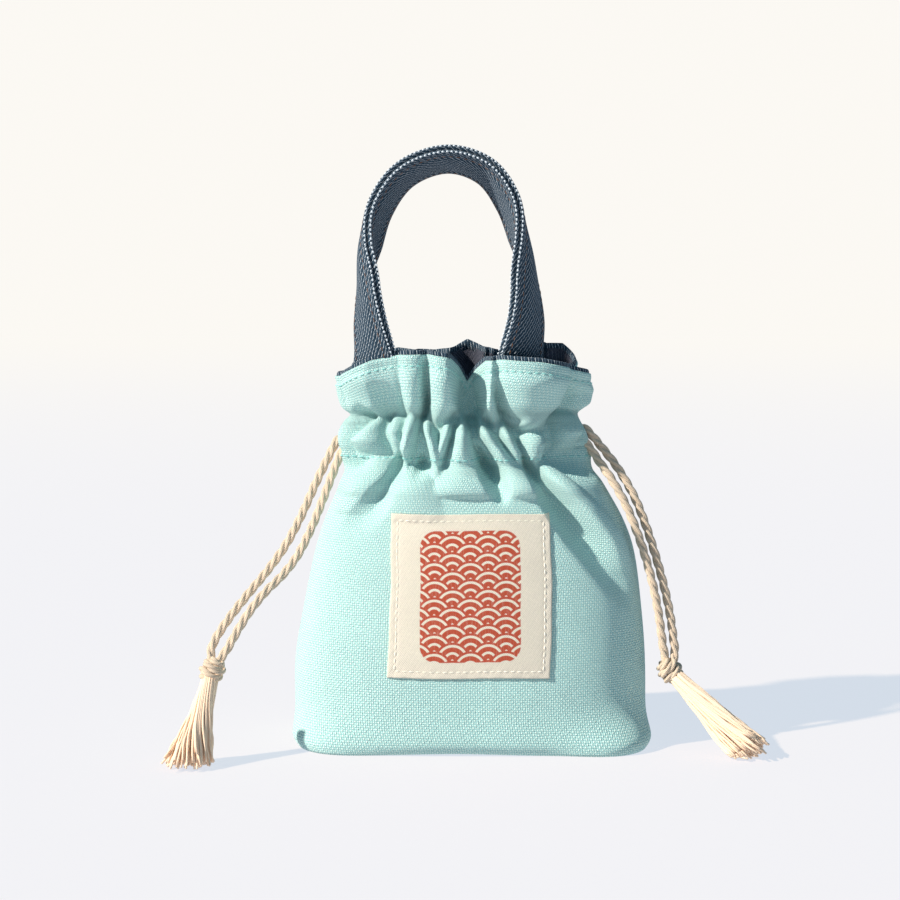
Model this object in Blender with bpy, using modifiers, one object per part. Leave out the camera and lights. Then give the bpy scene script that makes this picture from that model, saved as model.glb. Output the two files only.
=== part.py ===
"""Kinchaku drawstring pouch: canvas outside, denim lining, one strap handle, two drawstrings.

The pouch stands on its flat bottom with its front towards -Y. The origin is the middle of its
footprint. The front and back panels meet at the two side seams and along the middle of the bottom.
"""

import math

import bmesh
import bpy
import numpy as np
from mathutils import Matrix, Vector

MM = 0.001
GAP = 0.3 * MM  # clearance that sewn or touching pieces keep
SEAM_GAP = 0.9 * MM  # between the two panels of a layer, along their seams

# The pouch's level sections from the bottom up, in mm: height, half width, half depth, how far
# the middle leans to the right, and the power of the rounded outline (2 is an ellipse).
STATIONS = (
    (0, 61.5, 32.0, 0.0, 3.4),
    (5, 65.3, 35.0, 0.0, 3.2),
    (15, 67.2, 36.2, 0.0, 2.9),
    (32, 67.2, 35.6, 0.0, 2.7),
    (50, 65.0, 33.4, 0.8, 2.6),
    (71, 61.5, 30.0, 1.6, 2.5),
    (84, 57.5, 27.0, 1.4, 2.4),
    (98, 50.8, 23.2, 0.4, 2.3),
    (108, 46.6, 20.8, -1.6, 2.2),
    (117, 45.9, 20.6, -3.0, 2.2),
    (125, 42.6, 18.8, -3.2, 2.2),
    (132, 45.0, 20.2, -3.5, 2.2),
    (140, 47.4, 21.8, -3.6, 2.2),
    (145, 47.6, 22.4, -3.6, 2.2),
)
RIM_HEIGHT = 145 * MM
WALL_ROWS = 18
BOTTOM_ROWS = 4
PANEL_COLUMNS = 18

CANVAS = 1.2 * MM
DENIM = 1.0 * MM
LINING_INSET = 2.1 * MM  # lining's outer face behind the canvas's outer face, on the body
CASING_INSET = 8.2 * MM  # the same at the casing and above, where cords and strap ends fit between
LINING_BASE = 1.8 * MM
CASING_STARTS = (94 * MM, 107 * MM)

CORD = 3.0 * MM
CHANNEL_INSET = 4.2 * MM
LEFT_CHANNEL_HEIGHT = 112.2 * MM
RIGHT_CHANNEL_HEIGHT = 117.6 * MM
EXIT_REACH = 5.0 * MM  # how far from the side seam a channel run turns outwards
EXIT_BEND = (1.1 * MM, 2.4 * MM)  # where a free strand bends: outwards and ahead of the run's end
EXIT_SLOT = (12.8 * MM, 10.4 * MM)  # each side opening's width along the wall, and height

STRAP_WIDTH = 18 * MM
STRAP_THICKNESS = 4.4 * MM

PATCH_SIZE = (59 * MM, 60 * MM)
PATCH_CENTRE = (0.0, 59.5 * MM)
PATCH_THICKNESS = 0.8 * MM

# Free stretches of the drawstrings, in mm, from the side opening to the knot. The first
# word is the side, the second says whether the strand comes from the front or back run.
STRAND_ROUTES = {
    ("left", "front"): (
        (-49.3, -0.6, 110.0), (-52.2, -2.6, 103.0), (-56.0, -6.0, 93.0), (-60.0, -10.0, 83.0),
        (-65.0, -16.0, 73.0), (-70.5, -21.5, 66.0), (-76.5, -26.5, 60.5), (-82.0, -31.0, 54.0),
        (-86.5, -34.5, 47.0), (-90.2, -36.6, 40.5),
    ),
    ("left", "back"): (
        (-51.0, 0.6, 114.4), (-54.4, -0.6, 108.0), (-59.0, -4.2, 98.5), (-64.6, -9.0, 86.0),
        (-70.0, -13.8, 76.0), (-76.2, -18.8, 67.5), (-83.5, -25.0, 59.0), (-90.0, -31.0, 51.0),
        (-94.6, -35.4, 44.0), (-96.0, -37.2, 39.4),
    ),
    ("right", "front"): (
        (46.4, -1.3, 114.0), (50.4, -2.9, 107.0), (55.0, -4.6, 100.0), (60.2, -6.2, 91.5),
        (64.4, -8.4, 82.0), (67.2, -10.6, 72.0), (69.6, -12.8, 61.0), (71.4, -14.6, 50.0),
        (72.6, -15.8, 40.0), (73.6, -16.2, 34.4),
    ),
    ("right", "back"): (
        (46.8, 1.1, 119.4), (50.8, 0.3, 113.0), (57.2, -1.0, 103.9), (63.6, -3.0, 93.5),
        (68.0, -5.0, 83.0), (71.2, -7.4, 72.5), (74.0, -10.0, 61.0), (76.0, -12.4, 50.0),
        (77.2, -14.4, 40.0), (77.4, -15.4, 34.6),
    ),
}
KNOTS = {
    "left": ((-95.4, -38.4, 33.2), (6.0, 5.0, 4.9)),
    "right": ((75.6, -16.6, 28.4), (5.4, 5.0, 5.4)),
}
# Each tassel's middle line in mm, with the bundle's radius at each point.
TASSELS = {
    "left": ((-97.4, -39.2, 28.0, 3.6), (-98.8, -42.4, 20.0, 5.2), (-100.8, -46.6, 11.6, 7.4),
             (-102.4, -49.4, 5.2, 9.0)),
    "right": ((77.6, -18.4, 22.8, 3.6), (82.8, -22.0, 18.0, 4.8), (90.4, -28.0, 12.2, 5.8),
              (99.0, -35.6, 7.2, 6.2)),
}

# The strap's middle line as it stands, in mm, from its sewn left end to its sewn right end,
# with the strap's turn about its own length in degrees.
STRAP_ROUTE = (
    (-35.7, -10.7, 136.0, 25), (-36.0, -11.9, 141.5, 25), (-36.8, -13.2, 149.0, 26),
    (-38.0, -13.9, 161.0, 36), (-38.7, -13.8, 174.0, 50), (-38.0, -13.4, 189.0, 66),
    (-33.8, -13.0, 204.0, 78), (-24.0, -12.6, 216.6, 86), (-9.0, -12.4, 222.4, 90),
    (5.0, -12.6, 217.6, 94), (13.8, -13.0, 206.0, 102), (18.0, -13.4, 192.0, 114),
    (20.9, -13.8, 176.0, 128), (21.2, -14.8, 162.0, 146), (19.4, -15.6, 150.0, 164),
    (18.4, -15.2, 142.0, 168), (18.0, -14.3, 136.0, 168),
)
STRAP_TILT = 16  # degrees that the top of the loop leans so that its front edge is the higher
STRAP_STEPS = 44
STRAP_COLUMNS = 6
STRAP_BOW = 1.8 * MM  # how far the sewn ends curve with the rim
BOW_FADES = (148 * MM, 172 * MM)
BOW_LEVEL = 0.35  # share of the bow by which the whole section is moved outwards


def clear_scene():
    for obj in list(bpy.data.objects):
        bpy.data.objects.remove(obj, do_unlink=True)


def make_material(name, colour, roughness):
    material = bpy.data.materials.new(name)
    material.use_nodes = True
    shader = material.node_tree.nodes["Principled BSDF"]
    shader.inputs["Base Color"].default_value = (*colour, 1)
    shader.inputs["Roughness"].default_value = roughness
    shader.inputs["Metallic"].default_value = 0
    return material


def add_object(name, data, collection, material):
    obj = bpy.data.objects.new(name, data)
    data.materials.append(material)
    collection.objects.link(obj)
    return obj


def through(points, count):
    """Evenly spaced points on a smooth curve (Catmull-Rom) through the given points."""
    knots = np.array(points, float)
    padded = np.vstack([2 * knots[0] - knots[1], knots, 2 * knots[-1] - knots[-2]])
    pieces = []
    u = np.linspace(0, 1, 24, endpoint=False)[:, None]
    for i in range(len(knots) - 1):
        a, b, c, d = padded[i : i + 4]
        pieces.append(
            0.5 * (2 * b + (c - a) * u + (2 * a - 5 * b + 4 * c - d) * u**2
                   + (3 * b - a - 3 * c + d) * u**3)
        )
    curve = np.vstack([*pieces, knots[-1:]])
    reach = np.append(0, np.cumsum(np.linalg.norm(np.diff(curve[:, :3], axis=0), axis=1)))
    at = np.linspace(0, reach[-1], count)
    return np.stack([np.interp(at, reach, column) for column in curve.T], axis=1)


STATION_CURVE = through(STATIONS, 400)


def station(height):
    """Half width, half depth, lean and outline power of the pouch at a height, in metres."""
    z = STATION_CURVE[:, 0] * MM
    width, depth, lean = (np.interp(height, z, STATION_CURVE[:, i]) * MM for i in (1, 2, 3))
    return width, depth, lean, np.interp(height, z, STATION_CURVE[:, 4])


def section(height, inset, columns, side):
    """Evenly spaced points of half a level section, from the left seam to the right one.

    A superellipse: (x / half width) ** power + (y / half depth) ** power = 1.
    """
    width, depth, lean, power = station(height)
    angle = np.linspace(math.pi, 0, 400)
    cosine, sine = np.cos(angle), np.sin(angle)
    x = lean + (width - inset) * np.sign(cosine) * np.abs(cosine) ** (2 / power)
    y = (depth - inset) * np.abs(sine) ** (2 / power)
    reach = np.append(0, np.cumsum(np.hypot(np.diff(x), np.diff(y))))
    at = np.linspace(0, reach[-1], columns + 1)
    y = np.maximum(np.interp(at, reach, y), SEAM_GAP / 2)
    return np.interp(at, reach, x), side * y


def casing_inset(height):
    """How far behind the canvas the lining stands, which grows towards the casing."""
    low, high = CASING_STARTS
    share = np.clip((height - low) / (high - low), 0, 1)
    return LINING_INSET + (CASING_INSET - LINING_INSET) * share * share * (3 - 2 * share)


def grid_mesh(name, grid, turned):
    """A mesh of the faces between neighbouring rows and columns of an array of points."""
    rows, columns = grid.shape[:2]
    mesh = bmesh.new()
    vertices = [mesh.verts.new(point) for point in grid.reshape(-1, 3)]
    for row in range(rows - 1):
        for column in range(columns - 1):
            first = row * columns + column
            corners = [first, first + 1, first + columns + 1, first + columns]
            mesh.faces.new([vertices[i] for i in (corners[::-1] if turned else corners)])
    bmesh.ops.remove_doubles(mesh, verts=mesh.verts, dist=0.02 * MM)
    data = bpy.data.meshes.new(name)
    mesh.to_mesh(data)
    mesh.free()
    data.shade_smooth()
    return data


def add_thickness(obj, thickness, offset):
    solidify = obj.modifiers.new("thickness", "SOLIDIFY")
    solidify.thickness = thickness
    solidify.offset = offset
    solidify.use_even_offset = True


def panel(name, side, thickness, inset_at, base, collection, material):
    """One panel: its wall from the rim down, and its half of the boxed bottom."""
    rows = []
    for height in np.linspace(RIM_HEIGHT, base, WALL_ROWS + 1):
        x, y = section(height, inset_at(height), PANEL_COLUMNS, side)
        rows.append(np.stack([x, y, np.full_like(x, height)], axis=1))
    for step in range(1, BOTTOM_ROWS + 1):
        row = rows[WALL_ROWS].copy()
        folded = row[:, 1] * (1 - step / BOTTOM_ROWS)
        row[:, 1] = side * np.maximum(side * folded, SEAM_GAP / 2)
        rows.append(row)
    obj = add_object(name, grid_mesh(name, np.array(rows), side < 0), collection, material)
    add_thickness(obj, thickness, -1)
    return obj


def cut_exit(cutters, collection, side, height):
    """The opening in both panels at a side seam, where one drawstring comes out."""
    along, tall = EXIT_SLOT
    bpy.ops.mesh.primitive_cube_add(size=1)
    cutter = bpy.context.object
    cutter.name = f"{'left' if side < 0 else 'right'}_exit_cutter"
    width, _, lean, _ = station(height)
    cutter.location = (lean + side * width, 0, height)
    cutter.dimensions = (7 * MM, along, tall)
    for linked in list(cutter.users_collection):
        linked.objects.unlink(cutter)
    collection.objects.link(cutter)
    cutter.hide_render = True
    cutter.display_type = "WIRE"
    for obj in cutters:
        cut = obj.modifiers.new(cutter.name, "BOOLEAN")
        cut.object = cutter
        cut.operation = "DIFFERENCE"


def tube(name, points, collection, material, radii=None):
    """A round cord or bundle along the points, closed at both ends."""
    curve = bpy.data.curves.new(name, "CURVE")
    curve.dimensions = "3D"
    curve.bevel_depth = CORD / 2 if radii is None else MM
    curve.bevel_resolution = 2
    curve.use_fill_caps = True
    spline = curve.splines.new("POLY")
    spline.points.add(len(points) - 1)
    for index, point in enumerate(points):
        spline.points[index].co = (*point, 1)
        spline.points[index].radius = 1 if radii is None else radii[index]
    return add_object(name, curve, collection, material)


def channel_run(side, height):
    """The hidden stretch of a drawstring: round the casing from its own side and back to it."""
    width, depth, lean, power = station(height)
    angle = np.linspace(0, 2 * math.pi, 800)
    cosine, sine = np.cos(angle), np.sin(angle)
    x = lean + side * (width - CHANNEL_INSET) * np.sign(cosine) * np.abs(cosine) ** (2 / power)
    y = -(depth - CHANNEL_INSET) * np.sign(sine) * np.abs(sine) ** (2 / power)
    reach = np.append(0, np.cumsum(np.hypot(np.diff(x), np.diff(y))))
    at = np.linspace(EXIT_REACH, reach[-1] - EXIT_REACH, 32)
    return np.stack([np.interp(at, reach, x), np.interp(at, reach, y), np.full(32, height)], 1)


def drawstrings(collection, material):
    """Both drawstrings: the run in the casing, two free strands, the knot and the tassel."""
    for side, sign, height in (("left", -1, LEFT_CHANNEL_HEIGHT), ("right", 1, RIGHT_CHANNEL_HEIGHT)):
        run = channel_run(sign, height)
        tube(f"{side}_cord_casing_run", run, collection, material)
        for place, end, inner in (("front", run[0], run[1]), ("back", run[-1], run[-2])):
            ahead = (end - inner) / np.linalg.norm(end - inner)
            start = end + ahead * 2 * GAP
            bend = end + ahead * EXIT_BEND[1] + np.array([sign * EXIT_BEND[0], 0, 0])
            route = [start, bend, *(np.array(STRAND_ROUTES[side, place]) * MM)]
            tube(f"{side}_cord_{place}_strand", through(route, 26), collection, material)
        centre, radii = KNOTS[side]
        knot = bmesh.new()
        shape = Matrix.Translation(Vector(centre) * MM) @ Matrix.Diagonal((*(Vector(radii) * MM), 1))
        bmesh.ops.create_icosphere(knot, subdivisions=3, radius=1, matrix=shape)
        data = bpy.data.meshes.new(f"{side}_knot")
        knot.to_mesh(data)
        knot.free()
        data.shade_smooth()
        add_object(f"{side}_knot", data, collection, material)
        bundle = through(TASSELS[side], 9)
        tube(f"{side}_tassel", bundle[:, :3] * MM, collection, material, bundle[:, 3])


def handle_strap(collection, material):
    """The strap: a ribbon that turns a quarter turn up each leg, thickened to its four layers."""
    route = through(STRAP_ROUTE, STRAP_STEPS)
    centre, turn = route[:, :3] * MM, np.radians(route[:, 3])
    along = np.gradient(centre, axis=0)
    along /= np.linalg.norm(along, axis=1)[:, None]
    lean = math.radians(STRAP_TILT) * np.sin(turn) ** 4
    across = np.stack([np.cos(turn), -np.sin(turn) * np.cos(lean), np.sin(lean)], axis=1)
    across -= along * (across * along).sum(axis=1)[:, None]
    across /= np.linalg.norm(across, axis=1)[:, None]
    outward = np.cross(across, along)
    low, high = BOW_FADES
    bow = STRAP_BOW * np.clip((high - centre[:, 2]) / (high - low), 0, 1)
    places = np.linspace(-1, 1, STRAP_COLUMNS + 1)[None, :, None]
    grid = centre[:, None] + across[:, None] * places * STRAP_WIDTH / 2
    grid += outward[:, None] * (BOW_LEVEL - places**2) * bow[:, None, None]
    strap = add_object("handle_strap", grid_mesh("handle_strap", grid, True), collection, material)
    add_thickness(strap, STRAP_THICKNESS, 0)


def front_patch(collection, material):
    """The square patch, which follows the front panel's curve."""
    wide, tall = PATCH_SIZE
    rows = []
    for height in np.linspace(PATCH_CENTRE[1] + tall / 2, PATCH_CENTRE[1] - tall / 2, 13):
        width, depth, lean, power = station(height)
        x = PATCH_CENTRE[0] + np.linspace(-wide / 2, wide / 2, 13)
        y = -(depth + GAP) * (1 - np.abs((x - lean) / (width + GAP)) ** power) ** (1 / power)
        rows.append(np.stack([x, y, np.full_like(x, height)], axis=1))
    patch = add_object("front_patch", grid_mesh("front_patch", np.array(rows), True), collection, material)
    add_thickness(patch, PATCH_THICKNESS, 1)


def main():
    clear_scene()
    pouch = bpy.data.collections.new("kinchaku_pouch")
    helpers = bpy.data.collections.new("cutters")
    for collection in (pouch, helpers):
        bpy.context.scene.collection.children.link(collection)
    canvas = make_material("mint_canvas", (0.42, 0.76, 0.72), 0.9)
    lining = make_material("denim_lining", (0.05, 0.07, 0.11), 0.9)
    denim = make_material("strap_denim", (0.04, 0.07, 0.12), 0.85)
    twill = make_material("cream_twill", (0.80, 0.74, 0.62), 0.9)
    cotton = make_material("cotton_cord", (0.66, 0.52, 0.36), 0.9)

    walls = []
    for place, side in (("front", -1), ("back", 1)):
        walls.append(panel(f"outer_{place}_panel", side, CANVAS, lambda height: 0.0, 0.0, pouch, canvas))
        panel(f"lining_{place}_panel", side, DENIM, casing_inset, LINING_BASE, pouch, lining)
    cut_exit(walls, helpers, -1, LEFT_CHANNEL_HEIGHT)
    cut_exit(walls, helpers, 1, RIGHT_CHANNEL_HEIGHT)
    handle_strap(pouch, denim)
    front_patch(pouch, twill)
    drawstrings(pouch, cotton)


main()
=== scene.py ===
import math

import bmesh
import bpy
import numpy as np
from bpy.props import FloatProperty, FloatVectorProperty, IntProperty, PointerProperty
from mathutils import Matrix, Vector


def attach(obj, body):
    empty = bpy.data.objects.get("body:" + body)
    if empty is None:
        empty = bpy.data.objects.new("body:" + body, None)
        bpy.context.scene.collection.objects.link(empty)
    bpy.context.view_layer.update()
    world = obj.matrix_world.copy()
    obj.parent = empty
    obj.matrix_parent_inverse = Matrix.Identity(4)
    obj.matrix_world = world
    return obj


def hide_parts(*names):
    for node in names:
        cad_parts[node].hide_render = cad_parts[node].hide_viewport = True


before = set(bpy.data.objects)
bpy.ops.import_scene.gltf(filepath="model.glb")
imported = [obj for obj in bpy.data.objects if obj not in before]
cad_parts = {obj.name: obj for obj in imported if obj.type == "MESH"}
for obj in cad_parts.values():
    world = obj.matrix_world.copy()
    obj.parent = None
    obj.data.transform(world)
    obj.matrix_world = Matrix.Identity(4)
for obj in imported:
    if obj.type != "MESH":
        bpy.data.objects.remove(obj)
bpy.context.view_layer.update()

bl_info = {
    "name": "Kinchaku Pouch",
    "version": (1, 0, 0),
    "blender": (4, 5, 0),
    "location": "View3D > Sidebar > Kinchaku",
    "description": "Gathered canvas pouch with a denim lining, strap handle, patch and drawstrings",
    "category": "Add Mesh",
}

MM = 0.001

# Level sections from the bottom up, in mm: height, half width, half depth, how far the middle
# leans to the right, and the power of the rounded outline (2 is an ellipse).
STATIONS = (
    (0, 61.5, 32.0, 0.0, 3.4),
    (5, 65.3, 35.0, 0.0, 3.2),
    (15, 67.2, 36.2, 0.0, 2.9),
    (32, 67.2, 35.6, 0.0, 2.7),
    (50, 65.0, 33.4, 0.8, 2.6),
    (71, 61.5, 30.0, 1.6, 2.5),
    (84, 57.5, 27.0, 1.4, 2.4),
    (98, 50.8, 23.2, 0.4, 2.3),
    (108, 46.6, 20.8, -1.6, 2.2),
    (117, 45.9, 20.6, -3.0, 2.2),
    (125, 42.6, 18.8, -3.2, 2.2),
    (132, 45.0, 20.2, -3.5, 2.2),
    (140, 47.4, 21.8, -3.6, 2.2),
    (150, 48.0, 22.6, -3.6, 2.2),
)
FOLD_GAIN = 1.5  # how much deeper the folds are than the numbers below

# The rim's height in mm along the front and the back, by place across the pouch in mm.
FRONT_RIM = ((-51, 139.0), (-46, 141.4), (-37, 145.8), (-27, 148.0), (-15, 148.2), (-8, 147.0),
             (-4.5, 143.0), (-1, 137.0), (2.5, 142.0), (6, 145.6), (12, 146.4), (25, 145.4),
             (36, 143.0), (44, 140.0))
BACK_RIM = ((-51, 139.0), (-40, 144.0), (-28, 147.0), (-14, 146.0), (-6, 147.4), (-1, 150.2),
            (5, 147.6), (16, 145.6), (28, 149.4), (36, 149.0), (44, 140.0))

# Folds of the front, each a line from top to bottom of (across, height, half width, rise), in mm.
FRONT_RIDGES = (
    # the frill's lobes
    ((-40, 150, 17, 3.4), (-39, 138, 15, 4.4), (-39, 128, 11, 3.4), (-40, 123.5, 7, 0.6)),
    ((-22.4, 150, 7, 3.0), (-22.4, 140, 6, 4.0), (-22.6, 130, 4.6, 4.4), (-22.6, 124.6, 3.2, 2.6)),
    ((-10.6, 150, 7.4, 3.6), (-10.4, 140, 7.0, 5.4), (-10.6, 129, 6.4, 6.0), (-12, 122.6, 3.6, 3.4),
     (-12.6, 120.6, 2, 0)),
    ((5.6, 150, 6, 3.0), (5.8, 138, 4.4, 4.8), (7.6, 128, 3.8, 4.6), (10.6, 121, 2.4, 1.4)),
    ((24.4, 150, 19, 5.4), (24.4, 138, 16.6, 7.4), (24.0, 129, 14.4, 7.2), (23.6, 122, 8.6, 5.0),
     (23.6, 118.6, 3.4, 1.0)),
    ((42, 150, 9, 3.0), (42, 134, 8, 4.0), (41, 127, 6, 2.0)),
    # the casing's pleats
    ((-37, 124.6, 2.4, 1.4), (-39.6, 120, 4.6, 4.0), (-41.6, 115.6, 8.4, 5.2), (-40, 110, 9, 2.0)),
    ((-30, 123.6, 2.6, 1.6), (-29.6, 119.4, 3.6, 4.4), (-28.4, 114.8, 3.0, 3.2), (-27.6, 111, 2, 0)),
    ((-22.6, 126.6, 2.4, 2.6), (-23.4, 120, 3.2, 5.4), (-24.8, 113, 3.0, 5.4), (-26, 107.4, 2.0, 1.6)),
    ((-17.6, 125.4, 1.4, 1.6), (-16.4, 120, 2.3, 4.6), (-14.2, 114, 2.9, 5.4), (-12.9, 108, 3.0, 4.6),
     (-12.8, 103, 2.6, 1.4)),
    ((-8.6, 122.8, 1.8, 2.4), (-9.6, 118, 2.3, 4.6), (-11.2, 113, 2.6, 5.0), (-12.6, 108, 2.6, 3.4)),
    ((-3.0, 124.6, 1.0, 2.2), (-3.2, 119, 2.9, 5.2), (-3.4, 112, 5.2, 5.8), (-2.8, 105, 8.6, 4.4),
     (-2.0, 97, 14, 2.0)),
    ((3.2, 123.6, 1.4, 2.2), (6.4, 118, 2.9, 4.8), (11.4, 111, 3.9, 5.4), (16.4, 104.6, 5.2, 4.2),
     (21.6, 97, 7.6, 2.4)),
    ((12.0, 122.4, 2.0, 1.6), (14.4, 117, 2.7, 4.0), (17.6, 111, 2.9, 4.0), (20.4, 105, 2.4, 1.6)),
    ((24.4, 119.4, 4.6, 2.2), (25.2, 115, 6.0, 4.8), (25.2, 110, 4.6, 4.0), (24.6, 105.6, 2.4, 1.0)),
    ((36.6, 125.4, 4.4, 2.0), (38.6, 119, 6.4, 4.8), (38.6, 113, 5.6, 2.4)),
    # the wall's long folds below the casing
    ((28.0, 108.4, 3.2, 1.8), (32.6, 102, 5.0, 4.2), (42, 91, 6.8, 3.8), (51, 80, 7.6, 2.2),
     (57, 67, 7, 0.4)),
    ((-36, 108.6, 6.4, 2.6), (-40, 100, 8, 2.6), (-45, 90, 9, 1.0)),
    ((-20, 102, 6, 2.4), (-21, 95, 10, 1.8), (-21, 88, 12, 0.6)),
)
# Where the front rim folds back in the middle, flat-bottomed and steep-sided.
FRONT_RECESS = ((-0.4, 152, 8.6, 13.0), (-0.4, 143, 7.6, 14.0), (-0.2, 134, 7.0, 12.4),
                (0.2, 127, 5.2, 9.0), (0.6, 122, 3.0, 4.0), (1.2, 117, 1.6, 0.6))
FRONT_HOLLOWS = (
    ((-17.0, 149, 2.0, 0.6), (-17.2, 141, 2.4, 3.0), (-17.2, 131, 2.0, 4.6), (-18.2, 124.6, 1.6, 3.0)),
    ((9.2, 139, 3.0, 1.0), (10.6, 132, 2.6, 3.0), (13.4, 126, 2.4, 3.0), (18.4, 123.6, 2.4, 1.6)),
    ((-33.4, 139, 5.6, 0.8), (-33.4, 133, 5.2, 2.2), (-33.4, 128, 4.6, 1.6), (-33.6, 122, 2, 1.0)),
    ((-42.4, 129, 3, 0.4), (-42, 126, 4.8, 2.2), (-41, 123.6, 3.6, 1.4)),
    # below the casing
    ((-19.0, 110, 1.6, 1.6), (-19.4, 106.6, 3.4, 3.2), (-19.8, 103, 2.8, 1.2)),
    ((2.6, 113, 2.0, 2.0), (5.0, 108, 3.8, 4.4), (8.2, 101.6, 5.2, 5.2), (10.6, 96.6, 4.4, 3.2),
     (11.6, 92.6, 2.6, 0)),
    ((21.0, 109, 1.8, 2.4), (24.4, 103, 4.2, 4.6), (32.6, 92, 7.8, 6.0), (42.6, 78, 9.4, 5.0),
     (52, 64, 8.4, 2.6), (57.4, 53, 5, 0)),
    ((-27.8, 110, 2.2, 1.6), (-29.8, 102, 4.4, 3.0), (-34.4, 94.6, 6.4, 2.4), (-40, 86, 8.4, 1.0),
     (-43, 80, 8, 0)),
)

# The stitched lines above and below the casing: place across the pouch and height, in mm.
PINCH_LINE = ((-50, 124.6), (-42, 124.4), (-34, 123.8), (-26, 124.8), (-19, 125.6), (-12, 122.0),
              (-3, 125.0), (3.5, 123.6), (10, 122.4), (17.5, 123.4), (23, 119.0), (29, 120.2),
              (39, 126.2), (46, 126.6))
CASING_HEM = ((-50, 111.0), (-43, 110.6), (-30, 109.4), (-20, 107.0), (22, 106.4), (26, 107.4),
              (35, 112.6), (46, 112.4))

# Free drawstring strands in mm, from the side opening to the knot.
STRAND_ROUTES = {
    ("left", "front"): (
        (-49.3, -0.6, 110.0), (-52.2, -2.6, 103.0), (-56.0, -6.0, 93.0), (-60.0, -10.0, 83.0),
        (-65.0, -16.0, 73.0), (-70.5, -21.5, 66.0), (-76.5, -26.5, 60.5), (-82.0, -31.0, 54.0),
        (-86.5, -34.5, 47.0), (-90.2, -36.6, 40.5),
    ),
    ("left", "back"): (
        (-51.0, 0.6, 114.4), (-54.4, -0.6, 108.0), (-59.0, -4.2, 98.5), (-64.6, -9.0, 86.0),
        (-70.0, -13.8, 76.0), (-76.2, -18.8, 67.5), (-83.5, -25.0, 59.0), (-90.0, -31.0, 51.0),
        (-94.6, -35.4, 44.0), (-96.0, -37.2, 39.4),
    ),
    ("right", "front"): (
        (44.4, -1.9, 113.4), (49.2, -3.9, 106.6), (53.8, -6.6, 100.0), (58.6, -9.2, 91.5),
        (62.6, -11.4, 82.0), (66.0, -13.0, 72.0), (69.0, -14.4, 61.0), (71.2, -15.4, 50.0),
        (72.6, -16.0, 40.0), (73.6, -16.2, 34.4),
    ),
    ("right", "back"): (
        (44.6, 0.4, 118.4), (50.0, -0.4, 112.2), (56.4, -2.6, 103.9), (62.4, -5.6, 93.5),
        (66.6, -8.2, 83.0), (70.0, -10.2, 72.5), (73.2, -12.0, 61.0), (75.6, -13.4, 50.0),
        (77.0, -14.8, 40.0), (77.4, -15.4, 34.6),
    ),
}
KNOTS = {"left": (-95.4, -38.4, 33.2), "right": (75.6, -16.6, 28.4)}
TASSEL_ENDS = {"left": (-103.2, -52.4, 0.8), "right": (102.6, -39.4, 2.6)}
EXIT_HEIGHTS = {"left": 112.2, "right": 117.6}

# The strap's middle line in mm and its turn about its own length in degrees.
STRAP_ROUTE = (
    (-36.4, -10.4, 140.0, 24), (-36.4, -11.0, 142.5, 28), (-36.8, -12.6, 149.6, 40),
    (-38.2, -13.9, 161.0, 56), (-38.9, -13.8, 174.0, 74), (-38.0, -13.4, 189.0, 97),
    (-33.6, -13.0, 203.4, 106), (-24.0, -12.6, 215.4, 102), (-9.0, -12.4, 220.6, 90),
    (5.0, -12.6, 216.4, 79), (13.6, -13.0, 205.4, 76), (18.0, -13.4, 192.0, 88),
    (20.9, -13.8, 176.0, 114), (21.2, -14.4, 162.0, 132), (19.8, -13.8, 151.0, 148),
    (18.8, -12.6, 144.0, 162), (18.6, -12.0, 140.4, 168),
)
STRAP_TILT = 25.0

# Each side opening: half its width, half its height and how far round the wall it is felt, in mm.
SLIT = (1.9, 3.6, 9.0)
YARN_LIGHTENING = (1.30, 1.23, 1.20)  # the frayed yarns made lighter than the cord: painted light, standing in for the sun the tassel catches
THREAD_TINT = (0.45, 0.72, 0.74)  # the sewing thread beside the canvas's colour
SUN_TRAVEL = (0.78, 0.35, -0.60)
SKY = (0.12, 0.23, 0.315)
BACKDROP = (0.97, 0.945, 0.90)
CANVAS_HEM = ((0.2, 0.3), (0.7, 0.45))  # rows above the canvas wall: inwards and up, in mm
RIM_ROLL = ((0.9, -0.8), (0.7, 0.4), (0.75, 1.2), (1.1, 1.8), (1.8, 2.05), (2.4, 1.7), (2.7, 0.9),
            (2.8, -1.6))
PATCH_SIZE = (59.0, 60.0)
PATCH_MIDDLE = (-0.3, 59.5)
KNOT_RADII = (3.5, 3.3, 4.2)
KNOT_TURNS = 4.4
KNOT_LEAN = 38.0  # degrees, towards the tassel's side
STITCH_PITCH = 2.9


# ---------------------------------------------------------------- shapes

def arc_length(line):
    """How far along a line of points each one lies."""
    return np.append(0, np.cumsum(np.linalg.norm(np.diff(line, axis=0), axis=1)))


def unit(vectors):
    """Vectors divided by their own lengths."""
    return vectors / np.maximum(np.linalg.norm(vectors, axis=-1, keepdims=True), 1e-9)


def through(points, count):
    """Evenly spaced points on a smooth curve (Catmull-Rom) through the given points."""
    knots = np.array(points, float)
    padded = np.vstack([2 * knots[0] - knots[1], knots, 2 * knots[-1] - knots[-2]])
    u = np.linspace(0, 1, 32, endpoint=False)[None, :, None]
    a, b, c, d = (padded[i : i + len(knots) - 1][:, None] for i in range(4))
    curve = 0.5 * (2 * b + (c - a) * u + (2 * a - 5 * b + 4 * c - d) * u**2
                   + (3 * b - a - 3 * c + d) * u**3)
    curve = np.vstack([curve.reshape(-1, knots.shape[1]), knots[-1:]])
    reach = arc_length(curve[:, :3])
    at = np.linspace(0, reach[-1], count)
    return np.stack([np.interp(at, reach, column) for column in curve.T], axis=1)


STATION_CURVE = through(STATIONS, 600)


def envelope(height):
    """Half width, half depth, lean and outline power at each height, in mm."""
    return tuple(np.interp(height, STATION_CURVE[:, 0], STATION_CURVE[:, i]) for i in (1, 2, 3, 4))


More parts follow.
